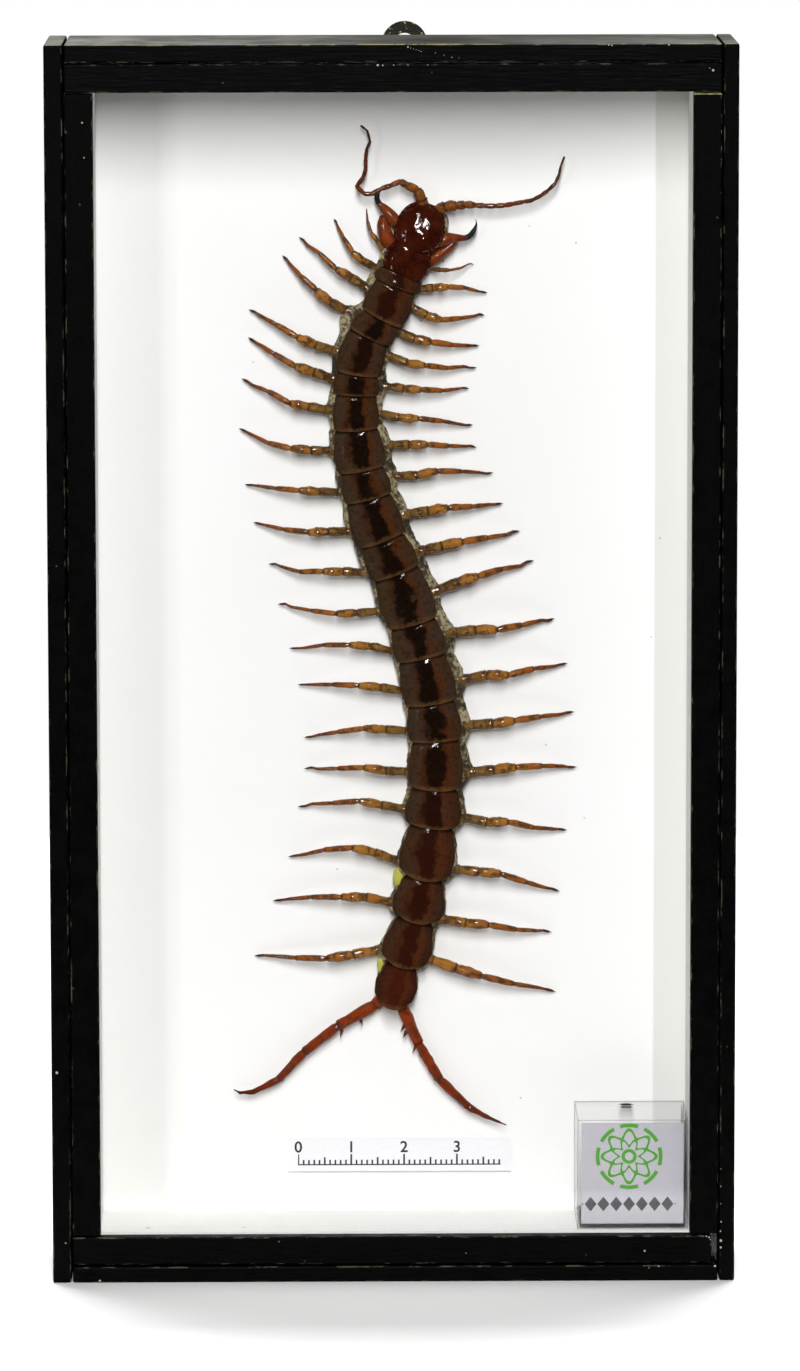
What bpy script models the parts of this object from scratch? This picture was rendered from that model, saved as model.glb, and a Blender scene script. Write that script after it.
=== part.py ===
"""Centipede mounted in a small glazed wooden case.

The case stands on its bottom edge and looks towards -Y. X runs to the right, Z up, and
the origin is the middle of the underside. Driving sizes are in millimetres, and the
finished pieces are in metres.
"""

import math
from itertools import pairwise

import bmesh
import bpy
from mathutils import Matrix, Vector

MM = 0.001
GAP = 0.3
"""Clearance between pieces that touch."""

# Case
CASE_WIDTH = 127.0
CASE_HEIGHT = 230.4
CASE_DEPTH = 30.0
BOARD_LEFT = 3.4
BOARD_RIGHT = 2.8
BOARD_TOP = 3.3
BOARD_BOTTOM = 3.0
BOARD_EDGE_ROUND = 0.35

# Glazing sticks, in front of the glass
STICK_WIDTH = 5.2
STICK_THICK = 3.0
STICK_RECESS = 0.5
STICK_EDGE_ROUND = 0.25
BOTTOM_STICK_SHORT = 1.2

# Sheets and lining
GLASS_THICK = 2.0
FOAM_THICK = 5.0
FOAM_DEPTH = 18.5
BACKING_THICK = 3.0
BACK_PANEL_THICK = 1.8

# Hanger plate and its nails
HANGER_X = 2.7
HANGER_THICK = 0.8
EYE_Z = 228.6
EYE_OUTER = 8.6
EYE_BORE = 4.2
BAR_LENGTH = 22.0
BAR_HEIGHT = 3.8
BAR_Z = 228.2
NAIL_Z = 228.5
NAIL_SPACING = 16.0
NAIL_SHANK = 1.1
NAIL_LENGTH = 8.0
NAIL_BORE = 1.8
NAIL_HEAD = 2.8
NAIL_HEAD_THICK = 0.6

# Paper label under the specimen
LABEL_LEFT = -19.8
LABEL_WIDTH = 42.2
LABEL_FOOT = 16.0
LABEL_HEIGHT = 6.2
PAPER_THICK = 0.3

# Clear box and its card in the lower right corner
BOX_SIZE = 20.7
BOX_WALL = 0.5
VENT_BORE = 2.0
VENT_FROM_BACK = 3.4
VENT_FROM_LEFT = 9.7

# Depths, counted along +Y from the front of the case
FRONT = -(CASE_DEPTH + GAP + HANGER_THICK + GAP + NAIL_HEAD_THICK) / 2
STICK_FRONT = FRONT + STICK_RECESS
GLASS_FRONT = STICK_FRONT + STICK_THICK + GAP
FOAM_FRONT = GLASS_FRONT + GLASS_THICK + GAP
BACKING_FRONT = FOAM_FRONT + FOAM_DEPTH + GAP
BACK_PANEL_FRONT = BACKING_FRONT + BACKING_THICK + GAP
BACK = FRONT + CASE_DEPTH

# Inner faces of the boards, less the gap, and of the lining
INNER_LEFT = -CASE_WIDTH / 2 + BOARD_LEFT + GAP
INNER_RIGHT = CASE_WIDTH / 2 - BOARD_RIGHT - GAP
INNER_FOOT = BOARD_BOTTOM + GAP
INNER_TOP = CASE_HEIGHT - BOARD_TOP - GAP
FLOOR = INNER_FOOT + FOAM_THICK

# Specimen: places are x and z on the backing, heights stand off the backing.
# The line along its back runs through the rear edges of some of the plates.
BACK_LINE = (
    (3.7, 190.2), (1.8, 186.4), (-1.8, 178.2), (-4.4, 174.4), (-6.2, 168.0),
    (-6.6, 161.0), (-6.1, 154.0), (-4.2, 144.5), (-1.7, 136.6), (1.1, 130.0),
    (4.0, 121.2), (5.9, 113.5), (7.5, 105.4), (8.2, 97.6), (8.0, 89.6), (7.4, 82.2),
    (5.9, 72.8), (4.2, 64.4), (1.8, 56.2), (-0.3, 48.0),
)
PLATE_LENGTHS = (
    4.2, 2.4, 6.7, 4.2, 7.3, 3.8, 6.6, 7.6, 5.5, 8.3, 6.7,
    10.0, 6.6, 8.8, 7.1, 9.2, 7.2, 10.0, 8.2, 8.9, 8.1,
)
PLATE_WIDTHS = (
    8.1, 8.2, 8.6, 8.3, 8.9, 8.8, 8.7, 9.6, 9.4, 9.9, 9.8,
    10.2, 10.1, 10.3, 10.3, 10.5, 10.8, 10.5, 10.0, 9.5, 8.1,
)
PLATE_OUTLINE = ((0.03, 0.86), (0.5, 1.0), (0.95, 0.92))
"""Shares of a plate's length and of its width."""
PLATE_HALF_HEIGHT = 2.1
PLATE_LIFT = 3.6
PLATE_SIDES = 12

# Soft sides of the trunk: how far they show beyond each plate, on the left and the right
SIDES = (
    (0.2, 0.3), (0.5, 0.3), (1.3, 0.9), (2.1, 1.5), (2.0, 1.4), (1.5, 1.3), (0.9, 1.1),
    (0.4, 1.7), (0.3, 1.7), (0.3, 2.0), (0.3, 2.1), (0.3, 2.1), (0.3, 2.2), (0.3, 2.0),
    (0.3, 2.2), (0.3, 1.9), (0.2, 1.5), (0.2, 1.0), (0.5, 0.4), (0.3, 0.2), (0.0, 0.0),
)
SIDE_OUTLINE = ((0.0, 0.45), (0.55, 1.0))
"""Shares of a plate's length and of how far the side shows there."""
BELLY_HALF_HEIGHT = 1.9
BELLY_LIFT = 2.3
BELLY_SIDES = 8

# Legs, from the head backwards: where each leaves the side, its knee and its tip
LEGS_LEFT = (
    ((-1.5, 190.9), (-4, 194.8), (-4.5, 198.6)), ((-2.7, 187.6), (-7.2, 190.5), (-10.6, 196.6)),
    ((-4.9, 184.1), (-10.3, 187.8), (-17.1, 193.2)), ((-8.4, 179.7), (-14.1, 183.4), (-20.2, 189.8)),
    ((-10.7, 172.1), (-17.8, 175.2), (-26.5, 179.7)), ((-11, 166.9), (-18.5, 169.6), (-26.6, 174.5)),
    ((-11.9, 161.1), (-19.2, 162.7), (-27.9, 166.8)), ((-11.2, 153.4), (-18.9, 153.8), (-28.4, 157.5)),
    ((-9.7, 145.6), (-18, 146), (-27.4, 146.9)), ((-8, 138.2), (-16.6, 138.3), (-25.8, 139.8)),
    ((-5.3, 130.5), (-13.7, 130.5), (-23, 131.9)), ((-2.4, 123.2), (-11.1, 123.1), (-21.3, 124.3)),
    ((0.2, 115.6), (-8.4, 117.2), (-19.2, 116)), ((1.9, 108.1), (-6.4, 109.3), (-17.6, 109.1)),
    ((3, 100.5), (-5.2, 101.1), (-16.5, 99.1)), ((2.9, 92.8), (-5.1, 93.6), (-16.5, 93.1)),
    ((2.1, 85.7), (-6.4, 87.3), (-17.7, 85.9)), ((0.9, 75.9), (-8, 78.5), (-19.5, 76.4)),
    ((-0.3, 68), (-10.4, 69.3), (-22.5, 68)), ((-2.5, 58.9), (-13.5, 57.4), (-26, 57.5)),
)
LEGS_RIGHT = (
    ((7.5, 187.4), (11, 187.4), (15.5, 187.9)), ((5.1, 183.6), (10.4, 184.1), (18, 182.7)),
    ((3.9, 180.2), (9.2, 178.1), (17.5, 178.5)), ((1.3, 175.7), (7.4, 173.5), (16.5, 172.8)),
    ((-0.4, 171.2), (6.6, 169.1), (16, 168.7)), ((-0.9, 165.4), (5.7, 164.7), (14.6, 164.8)),
    ((-2.3, 160.4), (5, 159.5), (15.3, 158)), ((0, 154.4), (6.9, 154.6), (16, 153.7)),
    ((1.1, 148.6), (8.3, 149.2), (19.1, 149)), ((3.3, 141.5), (10.6, 142.7), (20.9, 143.2)),
    ((5.7, 134.5), (13.3, 136.3), (24.1, 138)), ((8.9, 127.2), (16.3, 129.9), (26.7, 132.4)),
    ((11.8, 119.1), (19.6, 119.8), (30.6, 121.5)), ((13.8, 110.3), (22, 111.4), (33, 113)),
    ((14.9, 101.6), (23.1, 102.5), (34.3, 103.8)), ((15.1, 92.7), (23.3, 93.7), (34.8, 93.3)),
    ((13.8, 84), (22, 83), (33, 81.3)), ((12.1, 74.2), (20.7, 73.2), (31.6, 69.6)),
    ((9.6, 64.7), (18.9, 63.4), (30.1, 61.8)), ((7.1, 57.1), (17.8, 53.5), (30.9, 50.4)),
)
LEG_ROOT = 0.55
"""Share of a plate's length at which its legs grow from the body."""
LEG_HEIGHTS = (2.4, 2.6, 3.2, 0.7)
LEG_SHAPE = (
    (0.0, 0.9), (0.26, 0.95), (0.38, 0.85), (0.47, 1.05), (0.62, 0.62), (0.8, 0.45),
    (0.94, 0.28), (1.0, 0.06),
)
LEG_GIRTHS = {0: 0.5, 1: 0.85}
LEG_SIDES = 6

# The last pair of legs trails behind
TRAIL_LEFT = ((-0.6, 50.5), (-3.2, 48.3), (-10.3, 44.2), (-16.7, 39.2), (-21.5, 34.0),
              (-26.3, 31.6), (-28.8, 31.5), (-29.9, 32.1))
TRAIL_RIGHT = ((0.9, 50.5), (1.8, 48.0), (5.0, 40.7), (8.9, 33.9), (14.4, 28.6),
               (17.2, 27.0), (19.6, 25.9), (21.5, 25.1))
TRAIL_GIRTHS = (1.0, 1.05, 1.0, 0.8, 0.62, 0.4, 0.25, 0.06)
TRAIL_HEIGHT = 2.0
SPINES_LEFT = ((-6.0, 45.6, -5.6, 44.3), (-9.5, 43.6, -9.8, 42.0))
SPINES_RIGHT = ((2.4, 44.4, 1.5, 43.0), (2.8, 43.2, 1.9, 41.8), (4.7, 40.9, 3.7, 38.9))
SPINE_GIRTH = 0.35

# Head, feelers and venom claws
HEAD_CENTRE = (5.5, 195.1)
HEAD_TILT = 22.0
HEAD_LENGTH = 9.6
HEAD_WIDTH = 9.3
HEAD_HEIGHT = 4.4
HEAD_LIFT = 3.6
FEELER_LEFT = ((5.6, 197.2), (5.3, 201.3), (3.5, 203.3), (1.7, 203.9), (-1.8, 202.3), (-4.4, 201.4),
               (-6.1, 202.7), (-4.6, 205.4), (-4.6, 208.5), (-3.9, 212.3), (-5.6, 214.2))
FEELER_RIGHT = ((7.4, 197.4), (9.6, 198.8), (14.1, 199.2), (19.5, 199.2), (24.8, 200.0),
                (28.6, 201.3), (30.6, 203.6), (31.4, 206.2), (32.2, 208.2))
FEELER_GIRTH = 0.72
FEELER_TIP_GIRTH = 0.24
FEELER_HEIGHT = 3.8
CLAW_LEFT = ((2.8, 189.6), (-0.2, 192.2), (-1.6, 196.4), (-2.2, 199.4), (-2.0, 201.4))
CLAW_RIGHT = ((5.4, 189.4), (9.4, 191.0), (12.6, 192.6), (15.3, 194.0), (15.7, 196.6))
CLAW_GIRTHS = (1.5, 1.45, 1.15, 0.55, 0.08)
CLAW_HEIGHT = 2.2

TOWARDS_GLASS = Vector((0, -1, 0))


def material(name, colour, roughness, metallic=0.0, transmission=0.0, ior=1.5):
    """A plain material; a colour is linear red, green and blue."""
    made = bpy.data.materials.new(name)
    made.use_nodes = True
    shader = made.node_tree.nodes["Principled BSDF"]
    shader.inputs["Base Color"].default_value = (*colour, 1.0)
    shader.inputs["Roughness"].default_value = roughness
    shader.inputs["Metallic"].default_value = metallic
    shader.inputs["Transmission Weight"].default_value = transmission
    shader.inputs["IOR"].default_value = ior
    made.diffuse_color = (*colour, 1.0)
    return made


def collection(name):
    made = bpy.data.collections.new(name)
    bpy.context.scene.collection.children.link(made)
    return made


def move_to(piece, group):
    for old in piece.users_collection:
        old.objects.unlink(piece)
    group.objects.link(piece)


def box(name, low, high, finish, edge_round=0.0):
    """A block between two corners, in millimetres."""
    low, high = Vector(low) * MM, Vector(high) * MM
    bpy.ops.mesh.primitive_cube_add(size=1, location=(low + high) / 2)
    piece = bpy.context.object
    piece.name = piece.data.name = name
    piece.scale = high - low
    bpy.ops.object.transform_apply(location=False, rotation=False, scale=True)
    if edge_round:
        bevel = piece.modifiers.new("Edges", "BEVEL")
        bevel.width = edge_round * MM
        bevel.segments = 2
    piece.data.materials.append(finish)
    move_to(piece, PARTS)
    return piece


def cylinder(name, centre, diameter, length, axis, finish=None, sides=24):
    """A round bar along Y or Z."""
    turn = (math.pi / 2, 0, 0) if axis == "Y" else (0, 0, 0)
    bpy.ops.mesh.primitive_cylinder_add(vertices=sides, radius=diameter / 2 * MM,
                                        depth=length * MM, rotation=turn,
                                        location=Vector(centre) * MM)
    piece = bpy.context.object
    piece.name = piece.data.name = name
    if finish:
        piece.data.materials.append(finish)
        move_to(piece, PARTS)
    return piece


def cutter(piece):
    piece.hide_render = True
    piece.display_type = "WIRE"
    move_to(piece, CUTTERS)
    return piece


def combine(piece, other, operation):
    step = piece.modifiers.new(operation.capitalize(), "BOOLEAN")
    step.operation = operation
    step.object = cutter(other)


def boards(paint):
    """The four walls of the case; the end walls fit between the side walls."""
    left, right = -CASE_WIDTH / 2, CASE_WIDTH / 2
    spans = {
        "board_left": ((left, 0), (left + BOARD_LEFT, CASE_HEIGHT)),
        "board_right": ((right - BOARD_RIGHT, 0), (right, CASE_HEIGHT)),
        "board_top": ((INNER_LEFT, CASE_HEIGHT - BOARD_TOP), (INNER_RIGHT, CASE_HEIGHT)),
        "board_bottom": ((INNER_LEFT, 0), (INNER_RIGHT, BOARD_BOTTOM)),
    }
    made = {}
    for name, ((x0, z0), (x1, z1)) in spans.items():
        made[name] = box(name, (x0, FRONT, z0), (x1, BACK, z1), paint, BOARD_EDGE_ROUND)
    for place in nail_places():
        bore = cylinder("nail bore", place, NAIL_BORE, 2 * NAIL_LENGTH + 2, "Y")
        combine(made["board_top"], bore, "DIFFERENCE")


def sticks(paint):
    """The glazing sticks; the side sticks fit between the top and bottom ones."""
    inner_foot = INNER_FOOT + STICK_WIDTH
    inner_top = INNER_TOP - STICK_WIDTH
    spans = {
        "stick_top": ((INNER_LEFT, inner_top), (INNER_RIGHT, INNER_TOP)),
        "stick_bottom": ((INNER_LEFT, INNER_FOOT), (INNER_RIGHT - BOTTOM_STICK_SHORT, inner_foot)),
        "stick_left": ((INNER_LEFT, inner_foot + GAP), (INNER_LEFT + STICK_WIDTH, inner_top - GAP)),
        "stick_right": ((INNER_RIGHT - STICK_WIDTH, inner_foot + GAP), (INNER_RIGHT, inner_top - GAP)),
    }
    for name, ((x0, z0), (x1, z1)) in spans.items():
        box(name, (x0, STICK_FRONT, z0), (x1, STICK_FRONT + STICK_THICK, z1), paint, STICK_EDGE_ROUND)


def sheets(glass, board, panel):
    """Glass, backing and back panel, all the size of the case's inside."""
    layers = (
        ("glass_pane", GLASS_FRONT, GLASS_THICK, glass),
        ("backing_board", BACKING_FRONT, BACKING_THICK, board),
        ("back_panel", BACK_PANEL_FRONT, BACK_PANEL_THICK, panel),
    )
    for name, front, thick, finish in layers:
        box(name, (INNER_LEFT, front, INNER_FOOT), (INNER_RIGHT, front + thick, INNER_TOP), finish)


def lining(foam):
    """Foam strips round the inside, from the glass to the backing."""
    back = FOAM_FRONT + FOAM_DEPTH
    low, high = INNER_FOOT + FOAM_THICK, INNER_TOP - FOAM_THICK
    spans = {
        "foam_left": ((INNER_LEFT, low + GAP), (INNER_LEFT + FOAM_THICK, high - GAP)),
        "foam_right": ((INNER_RIGHT - FOAM_THICK, low + GAP), (INNER_RIGHT, high - GAP)),
        "foam_bottom": ((INNER_LEFT, INNER_FOOT), (INNER_RIGHT, low)),
        "foam_top": ((INNER_LEFT, high), (INNER_RIGHT, INNER_TOP)),
    }
    for name, ((x0, z0), (x1, z1)) in spans.items():
        box(name, (x0, FOAM_FRONT, z0), (x1, back, z1), foam)


def label(paper):
    back = BACKING_FRONT - GAP
    box("label_strip", (LABEL_LEFT, back - PAPER_THICK, LABEL_FOOT),
        (LABEL_LEFT + LABEL_WIDTH, back, LABEL_FOOT + LABEL_HEIGHT), paper)


def corner_box(plastic, card):
    """A clear box, open towards the backing, with a card behind its front wall."""
    right = INNER_RIGHT - FOAM_THICK - GAP
    left, foot = right - BOX_SIZE, FLOOR + GAP
    top = foot + BOX_SIZE
    front, back = FOAM_FRONT + GAP, BACKING_FRONT - GAP
    shell = box("corner_box", (left, front, foot), (right, back, top), plastic)
    hollow = box("corner_box hollow", (left + BOX_WALL, front + BOX_WALL, foot + BOX_WALL),
                 (right - BOX_WALL, back + 2, top - BOX_WALL), plastic)
    combine(shell, hollow, "DIFFERENCE")
    vent = cylinder("vent bore", (left + VENT_FROM_LEFT, back - VENT_FROM_BACK, top),
                    VENT_BORE, 4 * BOX_WALL, "Z")
    combine(shell, vent, "DIFFERENCE")
    inset = BOX_WALL + GAP
    card_front = front + BOX_WALL + GAP
    box("corner_card", (left + inset, card_front, foot + inset),
        (right - inset, card_front + PAPER_THICK, top - inset), card)


def nail_places():
    """Where the nails meet the back edge of the top board."""
    return [(HANGER_X + side * NAIL_SPACING / 2, BACK, NAIL_Z) for side in (-1, 1)]


def hanger(plate, steel):
    """A stamped plate with a round eye, on two nails behind the top board."""
    front = BACK + GAP
    back = front + HANGER_THICK
    bar = box("hanger_plate", (HANGER_X - BAR_LENGTH / 2, front, BAR_Z - BAR_HEIGHT / 2),
              (HANGER_X + BAR_LENGTH / 2, back, BAR_Z + BAR_HEIGHT / 2), plate)
    middle = (front + back) / 2
    combine(bar, cylinder("eye", (HANGER_X, middle, EYE_Z), EYE_OUTER, HANGER_THICK, "Y", sides=32), "UNION")
    combine(bar, cylinder("eye bore", (HANGER_X, middle, EYE_Z), EYE_BORE, 3, "Y"), "DIFFERENCE")
    for x, _, z in nail_places():
        combine(bar, cylinder("plate bore", (x, middle, z), NAIL_BORE, 3, "Y"), "DIFFERENCE")
    for name, (x, _, z) in zip(("nail_left", "nail_right"), nail_places()):
        head_front = back + GAP
        nail(name, x, z, head_front, steel)


def nail(name, x, z, head_front, steel):
    """A turned nail: its profile runs from the head's crown to the shank's end."""
    shank, head = NAIL_SHANK / 2, NAIL_HEAD / 2
    profile = ((0, NAIL_HEAD_THICK), (0.6 * head, 0.85 * NAIL_HEAD_THICK), (head, 0.3 * NAIL_HEAD_THICK),
               (head, 0), (shank, 0), (shank, -NAIL_LENGTH + 1), (0, -NAIL_LENGTH))
    mesh = bpy.data.meshes.new(name)
    bm = bmesh.new()
    points = [bm.verts.new((radius * MM, 0, height * MM)) for radius, height in profile]
    for pair in pairwise(points):
        bm.edges.new(pair)
    bm.to_mesh(mesh)
    bm.free()
    piece = bpy.data.objects.new(name, mesh)
    PARTS.objects.link(piece)
    turn = piece.modifiers.new("Turn", "SCREW")
    turn.angle = 2 * math.pi
    turn.steps = turn.render_steps = 16
    turn.use_merge_vertices = True
    turn.merge_threshold = 0.00001
    piece.rotation_euler = (-math.pi / 2, 0, 0)
    piece.location = (x * MM, head_front * MM, z * MM)
    piece.data.materials.append(steel)


def place(x, z, height):
    """A point of the specimen, in millimetres."""
    return Vector((x, BACKING_FRONT - height, z))


def smooth_line(points, per_span):
    """Points along a smooth curve through the given ones."""
    ends = [2 * points[0] - points[1], *points, 2 * points[-1] - points[-2]]
    line = []
    for a, b, c, d in zip(ends, ends[1:], ends[2:], ends[3:]):
        for step in range(per_span):
            t = step / per_span
            line.append((2 * b + (c - a) * t + (2 * a - 5 * b + 4 * c - d) * t ** 2
                         + (3 * b - a - 3 * c + d) * t ** 3) / 2)
    return [*line, points[-1]]


class Line:
    """A smooth curve that is read by its length."""

    def __init__(self, points, per_span=12):
        self.points = smooth_line(points, per_span)
        self.marks = [0.0]
        for a, b in pairwise(self.points):
            self.marks.append(self.marks[-1] + (b - a).length)
        self.length = self.marks[-1]

    def at(self, distance):
        """The point and the direction at a distance from the start."""
        distance = min(max(distance, 0.0), self.length)
        index = next((i for i, mark in enumerate(self.marks[1:], 1) if mark >= distance),
                     len(self.marks) - 1)
        a, b = self.points[index - 1], self.points[index]
        span = self.marks[index] - self.marks[index - 1]
        share = (distance - self.marks[index - 1]) / span
        return a.lerp(b, share), (b - a).normalized()


def section(centre, along, half_width, half_height):
    """A frame for a cross-section: across, towards the glass and along as its columns."""
    across = along.cross(TOWARDS_GLASS).normalized()
    up = across.cross(along).normalized()
    columns = ((*across * half_width, 0), (*up * half_height, 0), (*along, 0), (*centre, 1))
    return Matrix(columns).transposed()


def rounded_box(x, y, squareness):
    """Moves a point of the unit circle out towards a square."""
    return (math.copysign(abs(x) ** squareness, x), math.copysign(abs(y) ** squareness, y))


def skin(name, frames, sides, squareness=1.0):
    """A closed skin: one circle, extruded from each cross-section's frame to the next."""
    bm = bmesh.new()
    ring = bmesh.ops.create_circle(bm, cap_ends=True, segments=sides, radius=1.0)["verts"]
    for vert in ring:
        vert.co.x, vert.co.y = rounded_box(vert.co.x, vert.co.y, squareness)
    bmesh.ops.transform(bm, matrix=frames[0], verts=ring)
    cap = bm.faces[:][0]
    for before, after in pairwise(frames):
        grown = bmesh.ops.extrude_face_region(bm, geom=[cap, *cap.edges])["geom"]
        cap = next(item for item in grown if isinstance(item, bmesh.types.BMFace))
        bmesh.ops.transform(bm, matrix=after @ before.inverted(), verts=cap.verts)
    bmesh.ops.recalc_face_normals(bm, faces=bm.faces)
    return finished(name, bm)


def finished(name, bm):
    """Turns a bmesh in millimetres into an object in metres."""
    bmesh.ops.scale(bm, vec=(MM, MM, MM), verts=bm.verts)
    mesh = bpy.data.meshes.new(name)
    bm.to_mesh(mesh)
    bm.free()
    piece = bpy.data.objects.new(name, mesh)
    PARTS.objects.link(piece)
    return piece


def limb(name, points, girths, sides=LEG_SIDES):
    """A jointed limb: one cross-section at each share of its length."""
    line = Line(points)
    frames = []
    for share, girth in girths:
        centre, along = line.at(share * line.length)
        frames.append(section(centre, along, girth, girth))
    return skin(name, frames, sides)


class Trunk:
    """The line along the body, cut into the lengths of its plates."""

    def __init__(self, lift):
        self.line = Line([place(x, z, lift) for x, z in BACK_LINE])
        self.scale = self.line.length / sum(PLATE_LENGTHS)

    def at(self, index, share):
        """The middle of the body, its direction and the way to its left, within one plate."""
        start = sum(PLATE_LENGTHS[:index]) + share * PLATE_LENGTHS[index]
        centre, along = self.line.at(start * self.scale)
        return centre, along, along.cross(TOWARDS_GLASS).normalized()


def plates():
    """The row of 21 back plates, each swelling behind the last one's rear edge."""
    trunk = Trunk(PLATE_LIFT)
    frames = []
    for index, width in enumerate(PLATE_WIDTHS):
        for share, swell in PLATE_OUTLINE:
            centre, along, _ = trunk.at(index, share)
            frames.append(section(centre, along, swell * width / 2, swell * PLATE_HALF_HEIGHT))
    centre, along, _ = trunk.at(len(PLATE_WIDTHS) - 1, 1.0)
    frames.append(section(centre, along, 2.6, 1.2))
    return skin("centipede", frames, PLATE_SIDES, squareness=0.8)


def belly():
    """The soft underside, wider than the plates, drawn out where the legs grow."""
    trunk = Trunk(BELLY_LIFT)
    frames = []
    for index, (width, (left, right)) in enumerate(zip(PLATE_WIDTHS, SIDES)):
        for share, swell in SIDE_OUTLINE:
            centre, along, leftwards = trunk.at(index, share)
            centre = centre + leftwards * (left - right) * swell / 2
            half_width = width * 0.47 + (left + right) * swell / 2
            frames.append(section(centre, along, half_width, BELLY_HALF_HEIGHT))
    return skin("belly", frames, BELLY_SIDES, squareness=0.85)


def legs():
    """Twenty pairs of walking legs, from inside the body to their tips."""
    made = []
    trunk = Trunk(BELLY_LIFT)
    inside, root_height, knee_height, tip_height = LEG_HEIGHTS
    for table in (LEGS_LEFT, LEGS_RIGHT):
        for index, (root, knee, tip) in enumerate(table):
            centre, _, _ = trunk.at(index, LEG_ROOT)
            root = place(*root, root_height)
            start = root.lerp(centre, 0.4)
            start.y = BACKING_FRONT - inside
            points = [start, root, place(*knee, knee_height), place(*tip, tip_height)]
            girth = LEG_GIRTHS.get(index, 1.0)
            made.append(limb("leg", points, [(share, girth * size) for share, size in LEG_SHAPE]))
    return made


def trailing_legs():
    made = []
    for route, spines in ((TRAIL_LEFT, SPINES_LEFT), (TRAIL_RIGHT, SPINES_RIGHT)):
        points = [place(x, z, TRAIL_HEIGHT) for x, z in route]
        shares = spread(points)
        made.append(limb("last leg", points, list(zip(shares, TRAIL_GIRTHS)), sides=8))
        for foot_x, foot_z, tip_x, tip_z in spines:
            ends = [place(foot_x, foot_z, TRAIL_HEIGHT), place(tip_x, tip_z, TRAIL_HEIGHT)]
            made.append(limb("spine", ends, ((0.0, SPINE_GIRTH), (1.0, 0.05)), sides=5))
    return made


def spread(points):
    """Each point's share of the whole length."""
    marks = [0.0]
    for a, b in pairwise(points):
        marks.append(marks[-1] + (b - a).length)
    return [mark / marks[-1] for mark in marks]


def head():
    bm = bmesh.new()
    bmesh.ops.create_uvsphere(bm, u_segments=16, v_segments=10, radius=0.5)
    bmesh.ops.scale(bm, vec=(HEAD_WIDTH, HEAD_HEIGHT, HEAD_LENGTH), verts=bm.verts)
    bmesh.ops.rotate(bm, matrix=Matrix.Rotation(math.radians(HEAD_TILT), 3, "Y"), verts=bm.verts)
    bmesh.ops.translate(bm, vec=place(*HEAD_CENTRE, HEAD_LIFT), verts=bm.verts)
    return finished("head", bm)


def feelers():
    made = []
    for route in (FEELER_LEFT, FEELER_RIGHT):
        points = [place(x, z, FEELER_HEIGHT) for x, z in route]
        shares = spread(points)
        girths = [(share, FEELER_GIRTH + (FEELER_TIP_GIRTH - FEELER_GIRTH) * share) for share in shares]
        made.append(limb("feeler", points, girths))
    return made


def venom_claws():
    made = []
    for route in (CLAW_LEFT, CLAW_RIGHT):
        points = [place(x, z, CLAW_HEIGHT) for x, z in route]
        made.append(limb("claw", points, list(zip(spread(points), CLAW_GIRTHS)), sides=8))
    return made


def centipede(cuticle):
    """The whole specimen as one solid."""
    trunk = plates()
    for limb_piece in (belly(), head(), *venom_claws(), *feelers(), *trailing_legs(), *legs()):
        combine(trunk, limb_piece, "UNION")
    trunk.data.materials.append(cuticle)


def smooth(piece):
    piece.data.shade_smooth()
    piece.data.set_sharp_from_angle(angle=math.radians(35))


def main():
    paint = material("black_paint", (0.012, 0.012, 0.013), 0.55)
    white = material("white_foam", (0.82, 0.83, 0.80), 0.8)
    board = material("white_board", (0.88, 0.88, 0.86), 0.7)
    panel = material("hardboard", (0.16, 0.10, 0.06), 0.7)
    clear = material("glass", (1.0, 1.0, 1.0), 0.02, transmission=1.0, ior=1.5)
    plastic = material("clear_plastic", (1.0, 1.0, 1.0), 0.05, transmission=1.0, ior=1.46)
    paper = material("label_paper", (0.80, 0.79, 0.84), 0.6)
    card = material("corner_card", (0.60, 0.59, 0.62), 0.4)
    steel = material("nail_steel", (0.30, 0.29, 0.27), 0.35, metallic=1.0)
    plate = material("hanger_plate", (0.02, 0.02, 0.02), 0.35, metallic=1.0)
    cuticle = material("cuticle", (0.10, 0.035, 0.012), 0.25)
    boards(paint)
    sticks(paint)
    sheets(clear, board, panel)
    lining(white)
    label(paper)
    corner_box(plastic, card)
    hanger(plate, steel)
    centipede(cuticle)
    for piece in PARTS.objects:
        if piece.name.startswith(("centipede", "nail")):
            smooth(piece)


for old in list(bpy.data.objects):
    bpy.data.objects.remove(old, do_unlink=True)
PARTS = collection("framed_centipede")
CUTTERS = collection("cutters")
main()
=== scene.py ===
"""Looks for the centipede mounted in its glazed wooden case.

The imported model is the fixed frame. The specimen is modelled again here with its single
plates, leg joints and claws; the case, its glass, lining and cards keep their solids and
get their finishes. Driving sizes are in millimetres, and finished pieces are in metres.
"""

import math
from bisect import bisect_left
from functools import cache
from itertools import pairwise

import bmesh
import bpy
from mathutils import Matrix, Vector, noise


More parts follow.
